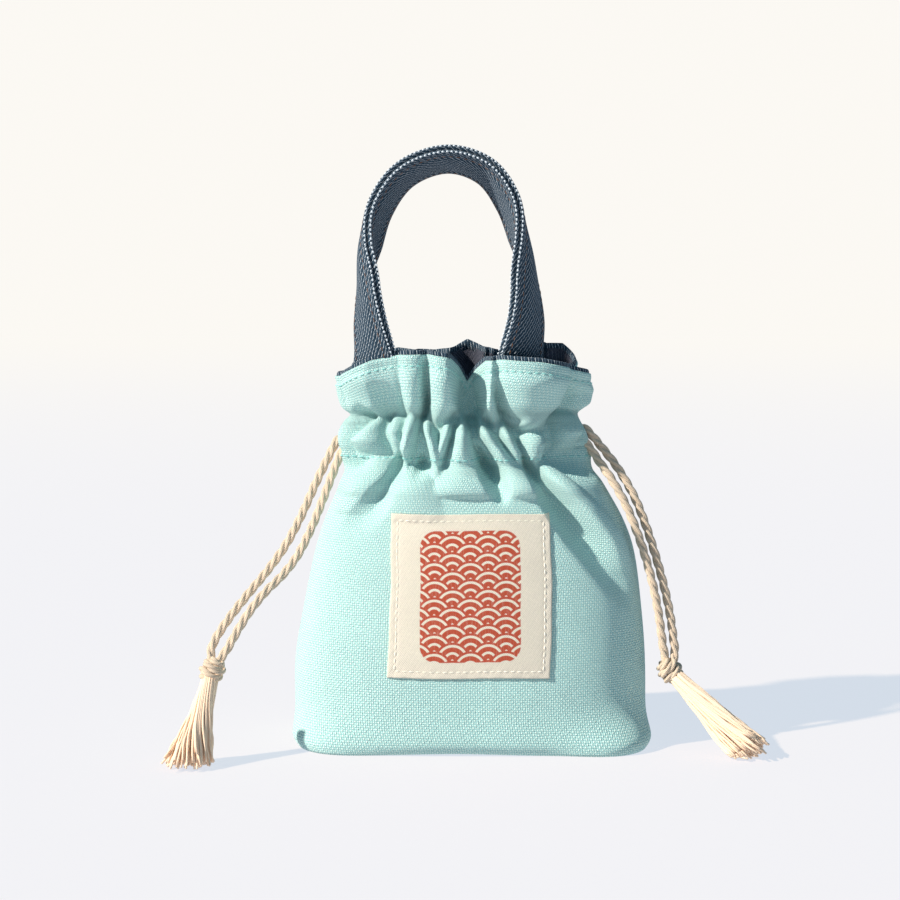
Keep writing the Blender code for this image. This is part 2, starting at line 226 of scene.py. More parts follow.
def smoothstep(low, high, value):
    """3 s^2 - 2 s^3, s being the share of the way from low to high."""
    share = np.clip((value - low) / (high - low), 0, 1)
    return share * share * (3 - 2 * share)


def level_rings(heights, fractions):
    """Points round the level sections, as arrays of rows by columns, in mm.

    Each section is a superellipse (x/a)^p + (y/b)^p = 1, walked evenly by its own length: fraction
    0 is the left seam, a quarter the middle of the front, a half the right seam.
    """
    a, b, lean, power = (value[:, None] for value in envelope(heights))
    angle = np.linspace(0, 2 * math.pi, 1441)
    cosine, sine = -np.cos(angle), -np.sin(angle)
    x = lean + a * np.sign(cosine) * np.abs(cosine) ** (2 / power)
    y = b * np.sign(sine) * np.abs(sine) ** (2 / power)
    step = np.hypot(np.diff(x, axis=1), np.diff(y, axis=1))
    reach = np.concatenate([np.zeros((len(heights), 1)), np.cumsum(step, axis=1)], axis=1)
    perimeter = reach[:, -1:]
    row = np.arange(len(heights))[:, None]
    along = (reach / perimeter * (1 - 1e-9) + row).ravel()
    wanted = np.clip(fractions, 0, 1 - 1e-9) + row
    shape = wanted.shape
    ring_x = np.interp(wanted.ravel(), along, x.ravel()).reshape(shape)
    ring_y = np.interp(wanted.ravel(), along, y.ravel()).reshape(shape)
    return ring_x, ring_y, perimeter


def fraction_table():
    """How far round the section a place across the front is, as a share of the half width."""
    ring_x, _, _ = level_rings(np.array([117.0]), np.linspace(0, 0.5, 400)[None, :])
    a, _, lean, _ = envelope(np.array([117.0]))
    return (ring_x[0] - lean[0]) / a[0], np.linspace(0, 0.5, 400)


ACROSS, FRACTION = fraction_table()


def across_to_fraction(x, height):
    """The fraction round the front at which a place across the pouch lies."""
    a, _, lean, _ = envelope(height)
    return np.interp((x - lean) / a, ACROSS, FRACTION)


def fold_profile(line, fraction, height, perimeter, rounding):
    """Rise of one fold: (1 - t^2)^rounding across it, t being the distance in half widths."""
    points = np.array(line, float)[::-1]
    z = points[:, 1]
    centre = across_to_fraction(np.interp(height, z, points[:, 0]), height)
    wide = np.interp(height, z, points[:, 2])
    rise = np.interp(height, z, points[:, 3])
    if points[-1, 1] < 130:
        rise = rise * (1 - smoothstep(z[-1], z[-1] + 1.6, height))
    rise = rise * smoothstep(z[0] - 2.4, z[0], height)
    t = np.clip(np.abs(fraction - centre) * perimeter / wide, 0, 1)
    return rise * (1 - t * t) ** rounding


def back_folds(seed):
    """Pleats of the back, drawn by the same rule as the front's, at an even pitch with jitter."""
    random = np.random.default_rng(seed)
    ridges = []
    for place in np.arange(-40, 36, 7.6):
        x = place + random.uniform(-1.4, 1.4)
        lean = random.uniform(-0.12, 0.12)
        wide = random.uniform(3.2, 4.6)
        rise = random.uniform(4.2, 5.6)
        end = random.uniform(88, 99)
        ridges.append(((x, 125.5, wide * 0.6, rise * 0.4), (x + 5 * lean, 120, wide, rise),
                       (x + 9 * lean, 112, wide, rise), (x * 1.06 + 16 * lean, 105, wide * 1.4, rise * 0.7),
                       (x * 1.14 + 20 * lean, end, wide * 2, 0)))
    for place in np.arange(-41, 38, 13.0):
        x = place + random.uniform(-2.4, 2.4)
        wide = random.uniform(6.4, 8.2)
        ridges.append(((x, 152, wide, 3.6), (x, 138, wide, 5.0), (x, 129, wide * 0.8, 4.6),
                       (x, 122.6, wide * 0.5, 0.8)))
    return tuple(ridges)


BACK_RIDGES = back_folds(7)
BACK_HOLLOWS = (
    ((-24, 152, 4, 2.4), (-24, 138, 3.6, 4.0), (-24, 128, 3, 3.4), (-24, 122, 2, 0)),
    ((11, 152, 4, 3.0), (11, 138, 3.4, 4.6), (11, 128, 3, 3.4), (11, 122, 2, 0)),
)


def gather_depth(height):
    """How far the creases between the folds lie behind the envelope, in mm."""
    casing = smoothstep(98, 108, height) * (1 - smoothstep(128, 140, height))
    frill = smoothstep(124, 132, height)
    return 4.4 * casing + 2.8 * frill * (1 - casing)


def wall_relief(front, fraction, height, perimeter):
    """Distance of the gathered wall outside its smooth envelope, in mm."""
    ridges, hollows = (FRONT_RIDGES, FRONT_HOLLOWS) if front else (BACK_RIDGES, BACK_HOLLOWS)
    mirrored = fraction if front else 1 - fraction
    rises = np.array([fold_profile(r, mirrored, height, perimeter, 0.75) for r in ridges])
    sharp = 3.0
    soft_max = FOLD_GAIN * np.log(np.exp(rises * sharp).sum(axis=0) - len(ridges) + 1) / sharp
    dips = FOLD_GAIN * sum(fold_profile(h, mirrored, height, perimeter, 1.4) for h in hollows)
    if front:
        dips = dips + fold_profile(FRONT_RECESS, mirrored, height, perimeter, 0.55)
    # the gathers flatten towards the side seams, which bulge a little instead
    seam = np.minimum(mirrored, 0.5 - mirrored) * perimeter
    depth = FOLD_GAIN * gather_depth(height) * (1 - 0.85 * np.exp(-((seam / 7) ** 2)))
    fades = np.where(mirrored > 0.25, 1.5, 0.6) * smoothstep(126, 136, height)
    bulge = 3.2 * np.exp(-((seam / 7) ** 2)) * smoothstep(102, 110, height) * (1 - fades)
    relief = soft_max - depth - dips + bulge
    # creases along the side seams, above and below the casing, and under the rim's hem
    crease = 0.9 * np.exp(-((seam / 1.5) ** 2)) * (1 - 0.5 * smoothstep(100, 112, height))
    x = np.interp(mirrored, FRACTION, ACROSS) * 45
    pinch, hem = np.array(PINCH_LINE), np.array(CASING_HEM)
    above = height - np.interp(x, pinch[:, 0], pinch[:, 1])
    below = height - np.interp(x, hem[:, 0], hem[:, 1])
    crease = crease + 1.8 * np.exp(-((above / 1.4) ** 2)) + 0.8 * np.exp(-((below / 1.1) ** 2))
    hem = rim_height(front, x - 3) - height
    crease = crease + 0.7 * np.exp(-(((hem - 3.6) / 0.8) ** 2))
    # the boxed bottom's corners stand out
    corner = np.exp(-((height / 10) ** 2)) * (1 if front else 0.4)
    crease = crease - 3.5 * corner * smoothstep(2, 16, seam)
    for place, push in ((0.085, 4.0), (0.415, 7.0)):
        crease = crease - push * corner * np.exp(-((((mirrored - place) * perimeter) / 15) ** 2))
    return relief - crease


def smoothed(grid, passes):
    """Each inner point moved halfway to the mean of its four neighbours, a few times over."""
    for _ in range(passes):
        inner = (grid[:-2, 1:-1] + grid[2:, 1:-1] + grid[1:-1, :-2] + grid[1:-1, 2:]) / 4
        grid = grid.copy()
        grid[1:-1, 1:-1] = 0.5 * grid[1:-1, 1:-1] + 0.5 * inner
    return grid


def rim_height(front, x):
    """The rim's height at each place across, read from its table."""
    table = np.array(FRONT_RIM if front else BACK_RIM)
    return np.interp(x, table[:, 0], table[:, 1])


def slit_shift(front, fractions, heights, perimeter):
    """Fractions moved away from each seam by gap exp(-(z/h)^4), so that it opens for its cord."""
    half_gap, half_height, felt = SLIT
    moved = fractions.copy()
    for seam, side in ((0.0, "left"), (0.5, "right"), (1.0, "left")):
        gap = half_gap * np.exp(-(((heights - EXIT_HEIGHTS[side]) / half_height) ** 4))
        distance = (fractions - seam) * perimeter
        push = np.where(distance >= 0, 1.0, -1.0)
        if side == "right":
            push = -1.0 if front else 1.0
        share = np.clip(1 - np.abs(distance) / felt, 0, 1)
        moved = moved + push * gap * share / perimeter
    return moved


def section_points(heights, fractions):
    """Points of the level sections, in mm, with the unit tangents and the perimeters."""
    x, y, perimeter = level_rings(heights, fractions)
    tangent = unit(np.stack([np.gradient(x, axis=1), np.gradient(y, axis=1)], axis=2))
    return x, y, tangent, perimeter


def moved_out(x, y, z, tangent, relief):
    """Points moved square to their tangents by the relief, as one array, in mm."""
    return np.stack([x + tangent[:, :, 1] * relief, y - tangent[:, :, 0] * relief, z], axis=2)



def wall_points(front, heights, fractions, spread=0.0):
    """Points of the gathered canvas wall at rows of heights and columns of fractions, in mm."""
    z = np.repeat(heights[:, None], fractions.shape[1], axis=1) + spread
    fractions = np.repeat(fractions, len(heights), axis=0)
    _, _, perimeter = level_rings(heights, fractions[:, :2])
    slit = slit_shift(front, fractions, z, perimeter)
    x, y, tangent, perimeter = section_points(heights, slit)
    grid = moved_out(x, y, z, tangent, wall_relief(front, fractions, z, perimeter))
    if front:
        arch = np.exp(-((heights[:, None] / 4) ** 2)) * np.exp(-(((grid[:, :, 0] + 6) / 26) ** 2))
        grid[:, :, 2] += 0.9 * arch
    return grid, tangent


def wall_heights():
    """Heights of the wall's rows in mm: close at the base, wide on the body, close in the gathers."""
    low = np.concatenate([np.linspace(0, 6, 6, endpoint=False), np.linspace(6, 84, 40, endpoint=False)])
    return np.concatenate([low, np.linspace(84, 145, 84)])


def rim_spread(front, heights, fractions):
    """How far each point is raised so that the last row is the rim, in mm."""
    ring_x, _, _ = level_rings(np.full(1, 143.0), fractions)
    return smoothstep(118, 145, heights)[:, None] * (rim_height(front, ring_x) - 145)


def wall_grid(front, columns):
    """The canvas wall from the bottom edge to the rim, closer rows in the gathers, in mm."""
    heights = wall_heights()
    fractions = np.linspace(0, 0.5, columns + 1)[None, :] + (0 if front else 0.5)
    grid, tangent = wall_points(front, heights, fractions, rim_spread(front, heights, fractions))
    return smoothed(grid, 2), tangent


def grid_normals(grid):
    """Unit normals of a grid from the cross product of its two directions."""
    return unit(np.cross(np.gradient(grid, axis=1), np.gradient(grid, axis=0)))


def bottom_rows(edge, count, side):
    """Rows that carry the bottom edge inwards to the middle seam, no wider than the edge there."""
    shares = np.linspace(0, 1, count + 1)[1:, None]
    rows = np.repeat(edge[None], count, axis=0)
    rows[:, :, 1] = edge[None, :, 1] * (1 - shares)
    rows[:, :, 1] = side * np.maximum(side * rows[:, :, 1], 0.15)
    rows[:, :, 2] = edge[None, :, 2] * (1 - smoothstep(0, 0.4, shares))
    for sign in (-1, 1):
        flank = edge[sign * edge[:, 0] > 0.85 * np.abs(edge[:, 0]).max()]
        flank = flank[np.argsort(np.abs(flank[:, 1]))]
        limit = np.interp(np.abs(rows[:, :, 1]), np.abs(flank[:, 1]), np.abs(flank[:, 0]))
        rows[:, :, 0] = sign * np.minimum(sign * rows[:, :, 0], limit)
    return rows[::-1]


def grid_quads(rows, columns, wrap=False):
    """Faces between neighbouring rows and columns, as places in the flattened grid."""
    index = np.arange(rows * columns).reshape(rows, columns)
    if wrap:
        index = np.concatenate([index, index[:, :1]], axis=1)
    quads = np.stack([index[:-1, :-1], index[:-1, 1:], index[1:, 1:], index[1:, :-1]], axis=2)
    return quads.reshape(-1, 4)


def mesh_from_faces(name, points, quads, corners=None):
    """A smooth mesh from points in mm and quads, with the faces' corners on a flat map in metres."""
    mesh = bpy.data.meshes.new(name)
    mesh.vertices.add(len(points))
    mesh.vertices.foreach_set("co", (points * MM).astype(np.float32).ravel())
    mesh.loops.add(quads.size)
    mesh.loops.foreach_set("vertex_index", quads.ravel().astype(np.int32))
    mesh.polygons.add(len(quads))
    mesh.polygons.foreach_set("loop_start", np.arange(0, quads.size, 4, dtype=np.int32))
    mesh.update(calc_edges=True)
    if corners is not None:
        layer = mesh.uv_layers.new(name="cloth")
        layer.data.foreach_set("uv", corners.astype(np.float32).ravel())
    mesh.shade_smooth()
    mesh.validate()
    return mesh


def mesh_from_grid(name, grid, uv, wrap=False):
    """A mesh of a grid in mm, joined into a tube if its columns wrap, with its map in metres."""
    rows, columns = grid.shape[:2]
    corners = quads = grid_quads(rows, columns, wrap)
    if wrap:
        uv = np.concatenate([uv, 2 * uv[:, -1:] - uv[:, -2:-1]], axis=1)
        corners = grid_quads(rows, columns + 1)
    return mesh_from_faces(name, grid.reshape(-1, 3), quads, uv.reshape(-1, 2)[corners.ravel()])


def joined_mesh(name, points, faces):
    """A mesh from stacked copies of one small shape: points (copies, n, 3) in mm, faces (m, 4)."""
    copies, each = points.shape[:2]
    index = faces[None] + each * np.arange(copies)[:, None, None]
    return mesh_from_faces(name, points.reshape(-1, 3), index.reshape(-1, 4))


def turned_frames(path):
    """Tangent, side and up that don't spin about the path: the side is carried along it."""
    tangent = unit(np.gradient(path, axis=0))
    side = np.cross(tangent[0], (0.3, 0.9, 0.2))
    sides = []
    for direction in tangent:
        side = side - direction * side.dot(direction)
        side = side / np.linalg.norm(side)
        sides.append(side)
    side = np.array(sides)
    return tangent, side, np.cross(side, tangent)


def rope_grid(path, diameter, lay, around):
    """A three-strand rope: the outline of three round strands, turned once every lay length.

    Seen across, the outline's radius is c cos(f) + sqrt(r^2 - c^2 sin^2(f)), f being the angle to
    the nearest strand's middle, c how far out the strands lie and r their own radius.
    """
    _, side, up = turned_frames(path)
    reach = arc_length(path)
    out, own = 0.245 * diameter, 0.262 * diameter
    angle = np.linspace(0, 2 * math.pi, around, endpoint=False)
    near = (angle + math.pi / 3) % (2 * math.pi / 3) - math.pi / 3
    radius = out * np.cos(near) + np.sqrt(own**2 - (out * np.sin(near)) ** 2)
    turn = angle[None] + 2 * math.pi * reach[:, None] / lay
    grid = path[:, None] + (np.cos(turn) * radius)[:, :, None] * side[:, None]
    grid += (np.sin(turn) * radius)[:, :, None] * up[:, None]
    uv = np.stack([np.broadcast_to(angle / (2 * math.pi), turn.shape),
                   np.broadcast_to(reach[:, None] * MM, turn.shape)], axis=2)
    return grid, uv


def capped(mesh, rows, columns):
    """Closes both ends of a tube mesh with one face each."""
    work = bmesh.new()
    work.from_mesh(mesh)
    work.verts.ensure_lookup_table()
    first = [work.verts[i] for i in range(columns)]
    last = [work.verts[(rows - 1) * columns + i] for i in range(columns)]
    for ring in (first[::-1], last):
        face = work.faces.new(ring)
        face.smooth = True
    bmesh.ops.recalc_face_normals(work, faces=work.faces)
    work.to_mesh(mesh)
    work.free()
    return mesh


def stitches(name, centres, along, normals, length, radius):
    """Short thread stitches: six-sided capsules that dip into the cloth at both ends."""
    u = np.array([-0.5, -0.38, -0.15, 0.15, 0.38, 0.5])
    swell = np.array([0.3, 0.85, 1.0, 1.0, 0.85, 0.3])
    lift = np.array([-0.8, 0.0, 0.55, 0.55, 0.0, -0.8]) * radius
    angle = np.linspace(0, 2 * math.pi, 6, endpoint=False)
    side = np.cross(normals, along)
    offset = (np.cos(angle)[None, :, None] * side[:, None, None]
              + np.sin(angle)[None, :, None] * normals[:, None, None])
    middle = (centres[:, None] + along[:, None] * (u * length)[None, :, None]
              + normals[:, None] * lift[None, :, None])
    points = middle[:, :, None] + offset * (swell * radius)[None, :, None, None]
    caps = np.array([[0, 1, 2, 3], [0, 3, 4, 5]])
    faces = np.concatenate([grid_quads(6, 6, wrap=True), caps[:, ::-1], caps + 30])[:, ::-1]
    return joined_mesh(name, points.reshape(len(centres), 36, 3), faces)


def stitch_run(line, normals, pitch):
    """Places along a line of points, one stitch every pitch: middles, directions and normals."""
    reach = arc_length(line)
    count = max(int(reach[-1] / pitch), 1)
    middle = (np.arange(count) + 0.5) * reach[-1] / count

    def at(places, values):
        return np.stack([np.interp(places, reach, column) for column in values.T], axis=1)

    along = unit(at(middle + 0.2, line) - at(middle - 0.2, line))
    normal = at(middle, normals)
    normal -= along * (normal * along).sum(axis=1)[:, None]
    return at(middle, line), along, unit(normal)


# ---------------------------------------------------------------- node groups and materials

def new_group(name, inputs, outputs):
    """An empty shader node group with float or vector inputs (name, default) and outputs."""
    group = bpy.data.node_groups.new(name, "ShaderNodeTree")
    for label, default in inputs:
        kind = "NodeSocketFloat" if isinstance(default, (int, float)) else "NodeSocketVector"
        if isinstance(default, tuple) and len(default) == 4:
            kind = "NodeSocketColor"
        socket = group.interface.new_socket(label, in_out="INPUT", socket_type=kind)
        socket.default_value = default
    for label, kind in outputs:
        group.interface.new_socket(label, in_out="OUTPUT", socket_type=kind)
    return group, group.nodes.new("NodeGroupInput"), group.nodes.new("NodeGroupOutput")


def plug(tree, value, socket):
    """Gives a socket its value: a number, a colour, or a link from another node."""
    if isinstance(value, tuple):
        socket.default_value = (*value, 1)
    elif isinstance(value, (int, float)):
        socket.default_value = value
    else:
        tree.links.new(value, socket)


def tinted(colour, factor):
    """A colour times one number, or times a number for each channel."""
    return tuple((np.array(colour) * factor).tolist())


def colour_mix(tree, factor, low, high):
    node = tree.nodes.new("ShaderNodeMix")
    node.data_type = "RGBA"
    for place, value in ((0, factor), (6, low), (7, high)):
        plug(tree, value, node.inputs[place])
    return node.outputs[2]


class Maths:
    """Short-hand for Math nodes of one tree: each call adds a node and gives back its output."""

    def __init__(self, tree):
        self.tree = tree

    def __call__(self, operation, *values):
        node = self.tree.nodes.new("ShaderNodeMath")
        node.operation = operation
        for socket, value in zip(node.inputs, values):
            plug(self.tree, value, socket)
        return node.outputs[0]

    def blend(self, factor, low, high):
        return self("ADD", low, self("MULTIPLY", factor, self("SUBTRACT", high, low)))

    def around(self, value, amount, middle=1.0):
        """The middle plus a share of a value that varies around zero."""
        return self("ADD", middle, self("MULTIPLY", value, amount))

    def step(self, value, low, high):
        node = self.tree.nodes.new("ShaderNodeMapRange")
        node.interpolation_type = "SMOOTHSTEP"
        node.inputs["From Min"].default_value = low
        node.inputs["From Max"].default_value = high
        self.tree.links.new(value, node.inputs["Value"])
        return node.outputs["Result"]


def noise(tree, vector, scale, detail=2.0, rough=0.5):
    node = tree.nodes.new("ShaderNodeTexNoise")
    node.inputs["Scale"].default_value = scale
    node.inputs["Detail"].default_value = detail
    node.inputs["Roughness"].default_value = rough
    tree.links.new(vector, node.inputs["Vector"])
    return node.outputs["Fac"]


def separated(tree, vector):
    node = tree.nodes.new("ShaderNodeSeparateXYZ")
    tree.links.new(vector, node.inputs[0])
    return node.outputs


def plain_weave_group():
    """Over-and-under weave on a flat map in metres.

    Each crossing is a nub, (|sin u| |sin v|)^0.55, and every other nub is twice as high. Which
    one is higher changes with the sign of sin u sin v. A slow noise bends the threads.
    """
    group, given, out = new_group(
        "Plain Weave", (("Cloth", (0.0, 0.0, 0.0)), ("Pitch", 0.001), ("Wander", 0.35)),
        (("Height", "NodeSocketFloat"), ("Gap", "NodeSocketFloat"), ("Thread", "NodeSocketFloat")),
    )
    m = Maths(group)
    axis = separated(group, given.outputs["Cloth"])
    slow = noise(group, given.outputs["Cloth"], 260.0, 2.0)
    wander = m("MULTIPLY", m("SUBTRACT", slow, 0.5), given.outputs["Wander"])
    u = m("ADD", m("DIVIDE", axis["X"], given.outputs["Pitch"]), m("MULTIPLY", wander, 2.0))
    v = m("SUBTRACT", m("DIVIDE", axis["Y"], given.outputs["Pitch"]), m("MULTIPLY", wander, 2.0))
    warp = m("SINE", m("MULTIPLY", u, math.pi))
    weft = m("SINE", m("MULTIPLY", v, math.pi))
    over = m.step(m("MULTIPLY", warp, weft), -0.3, 0.3)
    nub = m("POWER", m("MULTIPLY", m("ABSOLUTE", warp), m("ABSOLUTE", weft)), 0.55)
    height = m("MULTIPLY", nub, m("ADD", 0.45, m("MULTIPLY", over, 0.55)))
    hairs = noise(group, given.outputs["Cloth"], 5200.0, 3.0, 0.7)
    group.links.new(m("ADD", height, m("MULTIPLY", m("SUBTRACT", hairs, 0.5), 0.7)), out.inputs["Height"])
    group.links.new(m("SUBTRACT", 1.0, m.step(height, 0.12, 0.55)), out.inputs["Gap"])
    group.links.new(over, out.inputs["Thread"])
    return group


def twill_group():
    """Diagonal twill on a flat map in metres: raised wales, with weft dots between them.

    The wale's phase is u + slope v. Segments along each wale come from v alone, shifted half a
    stitch from wale to wale, so that the weft shows as rows of dots.
    """
    group, given, out = new_group(
        "Twill", (("Cloth", (0.0, 0.0, 0.0)), ("Pitch", 0.001), ("Slope", 0.6), ("Dot", 0.0012)),
        (("Height", "NodeSocketFloat"), ("Weft", "NodeSocketFloat"), ("Streak", "NodeSocketFloat")),
    )
    m = Maths(group)
    axis = separated(group, given.outputs["Cloth"])
    slow = noise(group, given.outputs["Cloth"], 420.0, 2.0)
    wander = m("MULTIPLY", m("SUBTRACT", slow, 0.5), 0.5)
    u = m("DIVIDE", axis["X"], given.outputs["Pitch"])
    v = m("DIVIDE", axis["Y"], given.outputs["Pitch"])
    phase = m("ADD", m("ADD", u, m("MULTIPLY", v, given.outputs["Slope"])), wander)
    wale = m("ABSOLUTE", m("SINE", m("MULTIPLY", phase, math.pi)))
    shift = m("MULTIPLY", m("FLOOR", phase), 0.5)
    along = m("ADD", m("DIVIDE", axis["Y"], given.outputs["Dot"]), shift)
    segment = m("ABSOLUTE", m("SINE", m("MULTIPLY", m("ADD", along, wander), math.pi)))
    valley = m("SUBTRACT", 1.0, m.step(wale, 0.15, 0.62))
    dots = m("MULTIPLY", valley, m.step(segment, 0.5, 0.92))
    hairs = noise(group, given.outputs["Cloth"], 6500.0, 3.0, 0.7)
    body = m("ADD", m("POWER", wale, 0.6), m("MULTIPLY", segment, 0.25))
    group.links.new(m("ADD", body, m("MULTIPLY", m("SUBTRACT", hairs, 0.5), 0.6)), out.inputs["Height"])
    group.links.new(dots, out.inputs["Weft"])
    stretched = group.nodes.new("ShaderNodeMapping")
    stretched.inputs["Scale"].default_value = (2600.0, 260.0, 1.0)
    group.links.new(given.outputs["Cloth"], stretched.inputs["Vector"])
    group.links.new(noise(group, stretched.outputs[0], 1.0, 2.0), out.inputs["Streak"])
    return group


def mottle_group():
    """Slow and fine unevenness of dyed or natural cotton, as a value around zero."""
    group, given, out = new_group(
        "Cotton Mottle", (("Place", (0.0, 0.0, 0.0)), ("Slow", 60.0), ("Fine", 900.0)),
        (("Value", "NodeSocketFloat"), ("Fuzz", "NodeSocketFloat")),
    )
    m = Maths(group)
    for label, socket in (("Slow", "Value"), ("Fine", "Fuzz")):
        node = group.nodes.new("ShaderNodeTexNoise")
        node.inputs["Detail"].default_value = 3.0
        node.inputs["Roughness"].default_value = 0.6
        group.links.new(given.outputs["Place"], node.inputs["Vector"])
        group.links.new(given.outputs[label], node.inputs["Scale"])
        group.links.new(m("SUBTRACT", node.outputs["Fac"], 0.5), out.inputs[socket])
    return group


def wave_scale_group():
    """The traditional overlapping wave pattern: rows of discs, each row half over the one above.

    A point belongs to the lowest row whose disc covers it. The value is its distance from that
    disc's middle as a share of the radius, from 0 to 1.
    """
    group, given, out = new_group(
        "Wave Scales", (("Cloth", (0.0, 0.0, 0.0)), ("Radius", 0.005)), (("Share", "NodeSocketFloat"),)
    )
    m = Maths(group)
    axis = separated(group, given.outputs["Cloth"])
    x = m("DIVIDE", axis["X"], given.outputs["Radius"])
    y = m("DIVIDE", axis["Y"], given.outputs["Radius"])
    base = m("FLOOR", m("MULTIPLY", y, 2.0))
    share = None
    for above in (1, 0, -1, -2):
        row = m("ADD", base, float(above))
        moved = m("ADD", x, m("MODULO", m("ABSOLUTE", row), 2.0))
        nearest = m("MULTIPLY", m("ROUND", m("DIVIDE", moved, 2.0)), 2.0)
        across = m("SUBTRACT", moved, nearest)
        up = m("SUBTRACT", y, m("MULTIPLY", row, 0.5))
        distance = m("SQRT", m("ADD", m("MULTIPLY", across, across), m("MULTIPLY", up, up)))
        inside = m("LESS_THAN", distance, 1.0)
        share = distance if share is None else m.blend(inside, share, distance)
    group.links.new(share, out.inputs["Share"])
    return group


GROUPS = {}


def shared_groups():
    if not GROUPS:
        GROUPS.update(weave=plain_weave_group(), twill=twill_group(), mottle=mottle_group(),
                      waves=wave_scale_group())
    return GROUPS


class Finish:
    """One material under way: its tree, its shader and short-hands for the nodes it needs."""

    def __init__(self, name, roughness, sheen=0.0, sheen_tint=(1, 1, 1), sheen_rough=0.5):
        self.material = bpy.data.materials.new(name)
        self.material.use_nodes = True
        self.tree = self.material.node_tree
        self.shader = self.tree.nodes["Principled BSDF"]
        self.shader.inputs["Roughness"].default_value = roughness
        self.shader.inputs["Specular IOR Level"].default_value = 0.25
        self.shader.inputs["Sheen Weight"].default_value = sheen
        self.shader.inputs["Sheen Tint"].default_value = (*sheen_tint, 1)
        self.shader.inputs["Sheen Roughness"].default_value = sheen_rough
        self.m = Maths(self.tree)

    def uv(self, name="cloth"):
        node = self.tree.nodes.new("ShaderNodeUVMap")
        node.uv_map = name
        return node.outputs["UV"]

    def place(self):
        return self.tree.nodes.new("ShaderNodeTexCoord").outputs["Object"]

    def group(self, key, **values):
        node = self.tree.nodes.new("ShaderNodeGroup")
        node.node_tree = shared_groups()[key]
        for label, value in values.items():
            plug(self.tree, value, node.inputs[label])
        return node.outputs

    def mix(self, factor, low, high):
        return colour_mix(self.tree, factor, low, high)

    def scaled(self, colour, factor):
        """A colour made lighter or darker by a value that changes over the surface."""
        node = self.tree.nodes.new("ShaderNodeVectorMath")
        node.operation = "SCALE"
        self.tree.links.new(colour, node.inputs[0])
        self.tree.links.new(factor, node.inputs["Scale"])
        return node.outputs[0]

    def finish(self, colour, height, distance, strength=1.0):
        self.tree.links.new(colour, self.shader.inputs["Base Color"])
        bump = self.tree.nodes.new("ShaderNodeBump")
        bump.inputs["Distance"].default_value = distance
        bump.inputs["Strength"].default_value = strength
        self.tree.links.new(height, bump.inputs["Height"])
        self.tree.links.new(bump.outputs[0], self.shader.inputs["Normal"])
        return self.material


def canvas_material(settings):
    f = Finish("mint_canvas", 0.92, sheen=0.25, sheen_tint=(0.8, 1.0, 0.97))
    weave = f.group("weave", Cloth=f.uv(), Pitch=settings.weave_pitch, Wander=0.4)
    mottle = f.group("mottle", Place=f.place(), Slow=70.0, Fine=1500.0)
    # painted shade: the low gaps between the weave's nubs are darkened towards teal, where shade falls
    # between the threads
    gap_shade = tinted(settings.canvas, (0.42, 0.68, 0.74))
    colour = f.mix(f.m("MULTIPLY", weave["Gap"], 0.95), tuple(settings.canvas), gap_shade)
    tone = f.m.around(mottle["Value"], 0.14, f.m.around(mottle["Fuzz"], 0.22))
    height = f.m.around(mottle["Fuzz"], 0.8, weave["Height"])
    return f.finish(f.scaled(colour, tone), height, 0.00042, 0.9)


def denim_material(name, blue, weft, pitch, slope, dot, show):
    """Indigo warp in diagonal wales, the weft showing between them by the share given."""
    f = Finish(name, 0.88, sheen=0.12, sheen_tint=(0.7, 0.8, 1.0))
    twill = f.group("twill", Cloth=f.uv(), Pitch=pitch, Slope=slope, Dot=dot)
    mottle = f.group("mottle", Place=f.place(), Slow=90.0, Fine=1800.0)
    warp = f.mix(twill["Streak"], tinted(blue, 0.55), tinted(blue, 1.5))
    colour = f.mix(f.m("MULTIPLY", twill["Weft"], show), warp, tuple(weft))
    streak = f.m("MULTIPLY", f.m.around(twill["Streak"], 0.9, 0.55), 0.35)
    tone = f.m("ADD", streak, f.m.around(mottle["Fuzz"], 0.5, 0.65))
    return f.finish(f.scaled(colour, tone), twill["Height"], 0.00028, 0.9)


def patch_material(settings):
    f = Finish("cream_twill", 0.9, sheen=0.15)
    cloth = f.uv()
    twill = f.group("twill", Cloth=cloth, Pitch=0.00078, Slope=0.9, Dot=0.0011)
    mottle = f.group("mottle", Place=f.place(), Slow=80.0, Fine=1700.0)
    axis = separated(f.tree, cloth)
    m = f.m
    waves = f.group("waves", Cloth=cloth, Radius=settings.wave_radius)
    bands = m("ABSOLUTE", m("SINE", m("MULTIPLY", waves["Share"], math.pi * 2.5)))
    inked = m.step(bands, 0.42, 0.62)
    half_x, half_y = settings.print_width / 2, settings.print_height / 2
    corner = 0.006
    dx = m("MAXIMUM", m("SUBTRACT", m("ABSOLUTE", axis["X"]), half_x - corner), 0.0)
    dy = m("MAXIMUM", m("SUBTRACT", m("ABSOLUTE", axis["Y"]), half_y - corner), 0.0)
    edge = m("SQRT", m("ADD", m("MULTIPLY", dx, dx), m("MULTIPLY", dy, dy)))
    inside = m("SUBTRACT", 1.0, m.step(edge, corner - 0.0002, corner + 0.0002))
    rubbed = m("SUBTRACT", 1.0, m("MULTIPLY", m.step(twill["Streak"], 0.45, 0.85), 0.22))
    ink = m("MULTIPLY", m("MULTIPLY", inked, inside), rubbed)
    # painted shade: the cream and the ink alike are darkened on the twill's weft dots, which lie in the
    # valleys between the wales
    cream = f.mix(twill["Weft"], tuple(settings.patch), tinted(settings.patch, 0.60))
    red = f.mix(twill["Weft"], tuple(settings.ink), tinted(settings.ink, 0.55))
    colour = f.mix(ink, cream, red)
    tone = m.around(mottle["Value"], 0.08, m.around(mottle["Fuzz"], 0.2))
    return f.finish(f.scaled(colour, tone), twill["Height"], 0.00024, 0.9)


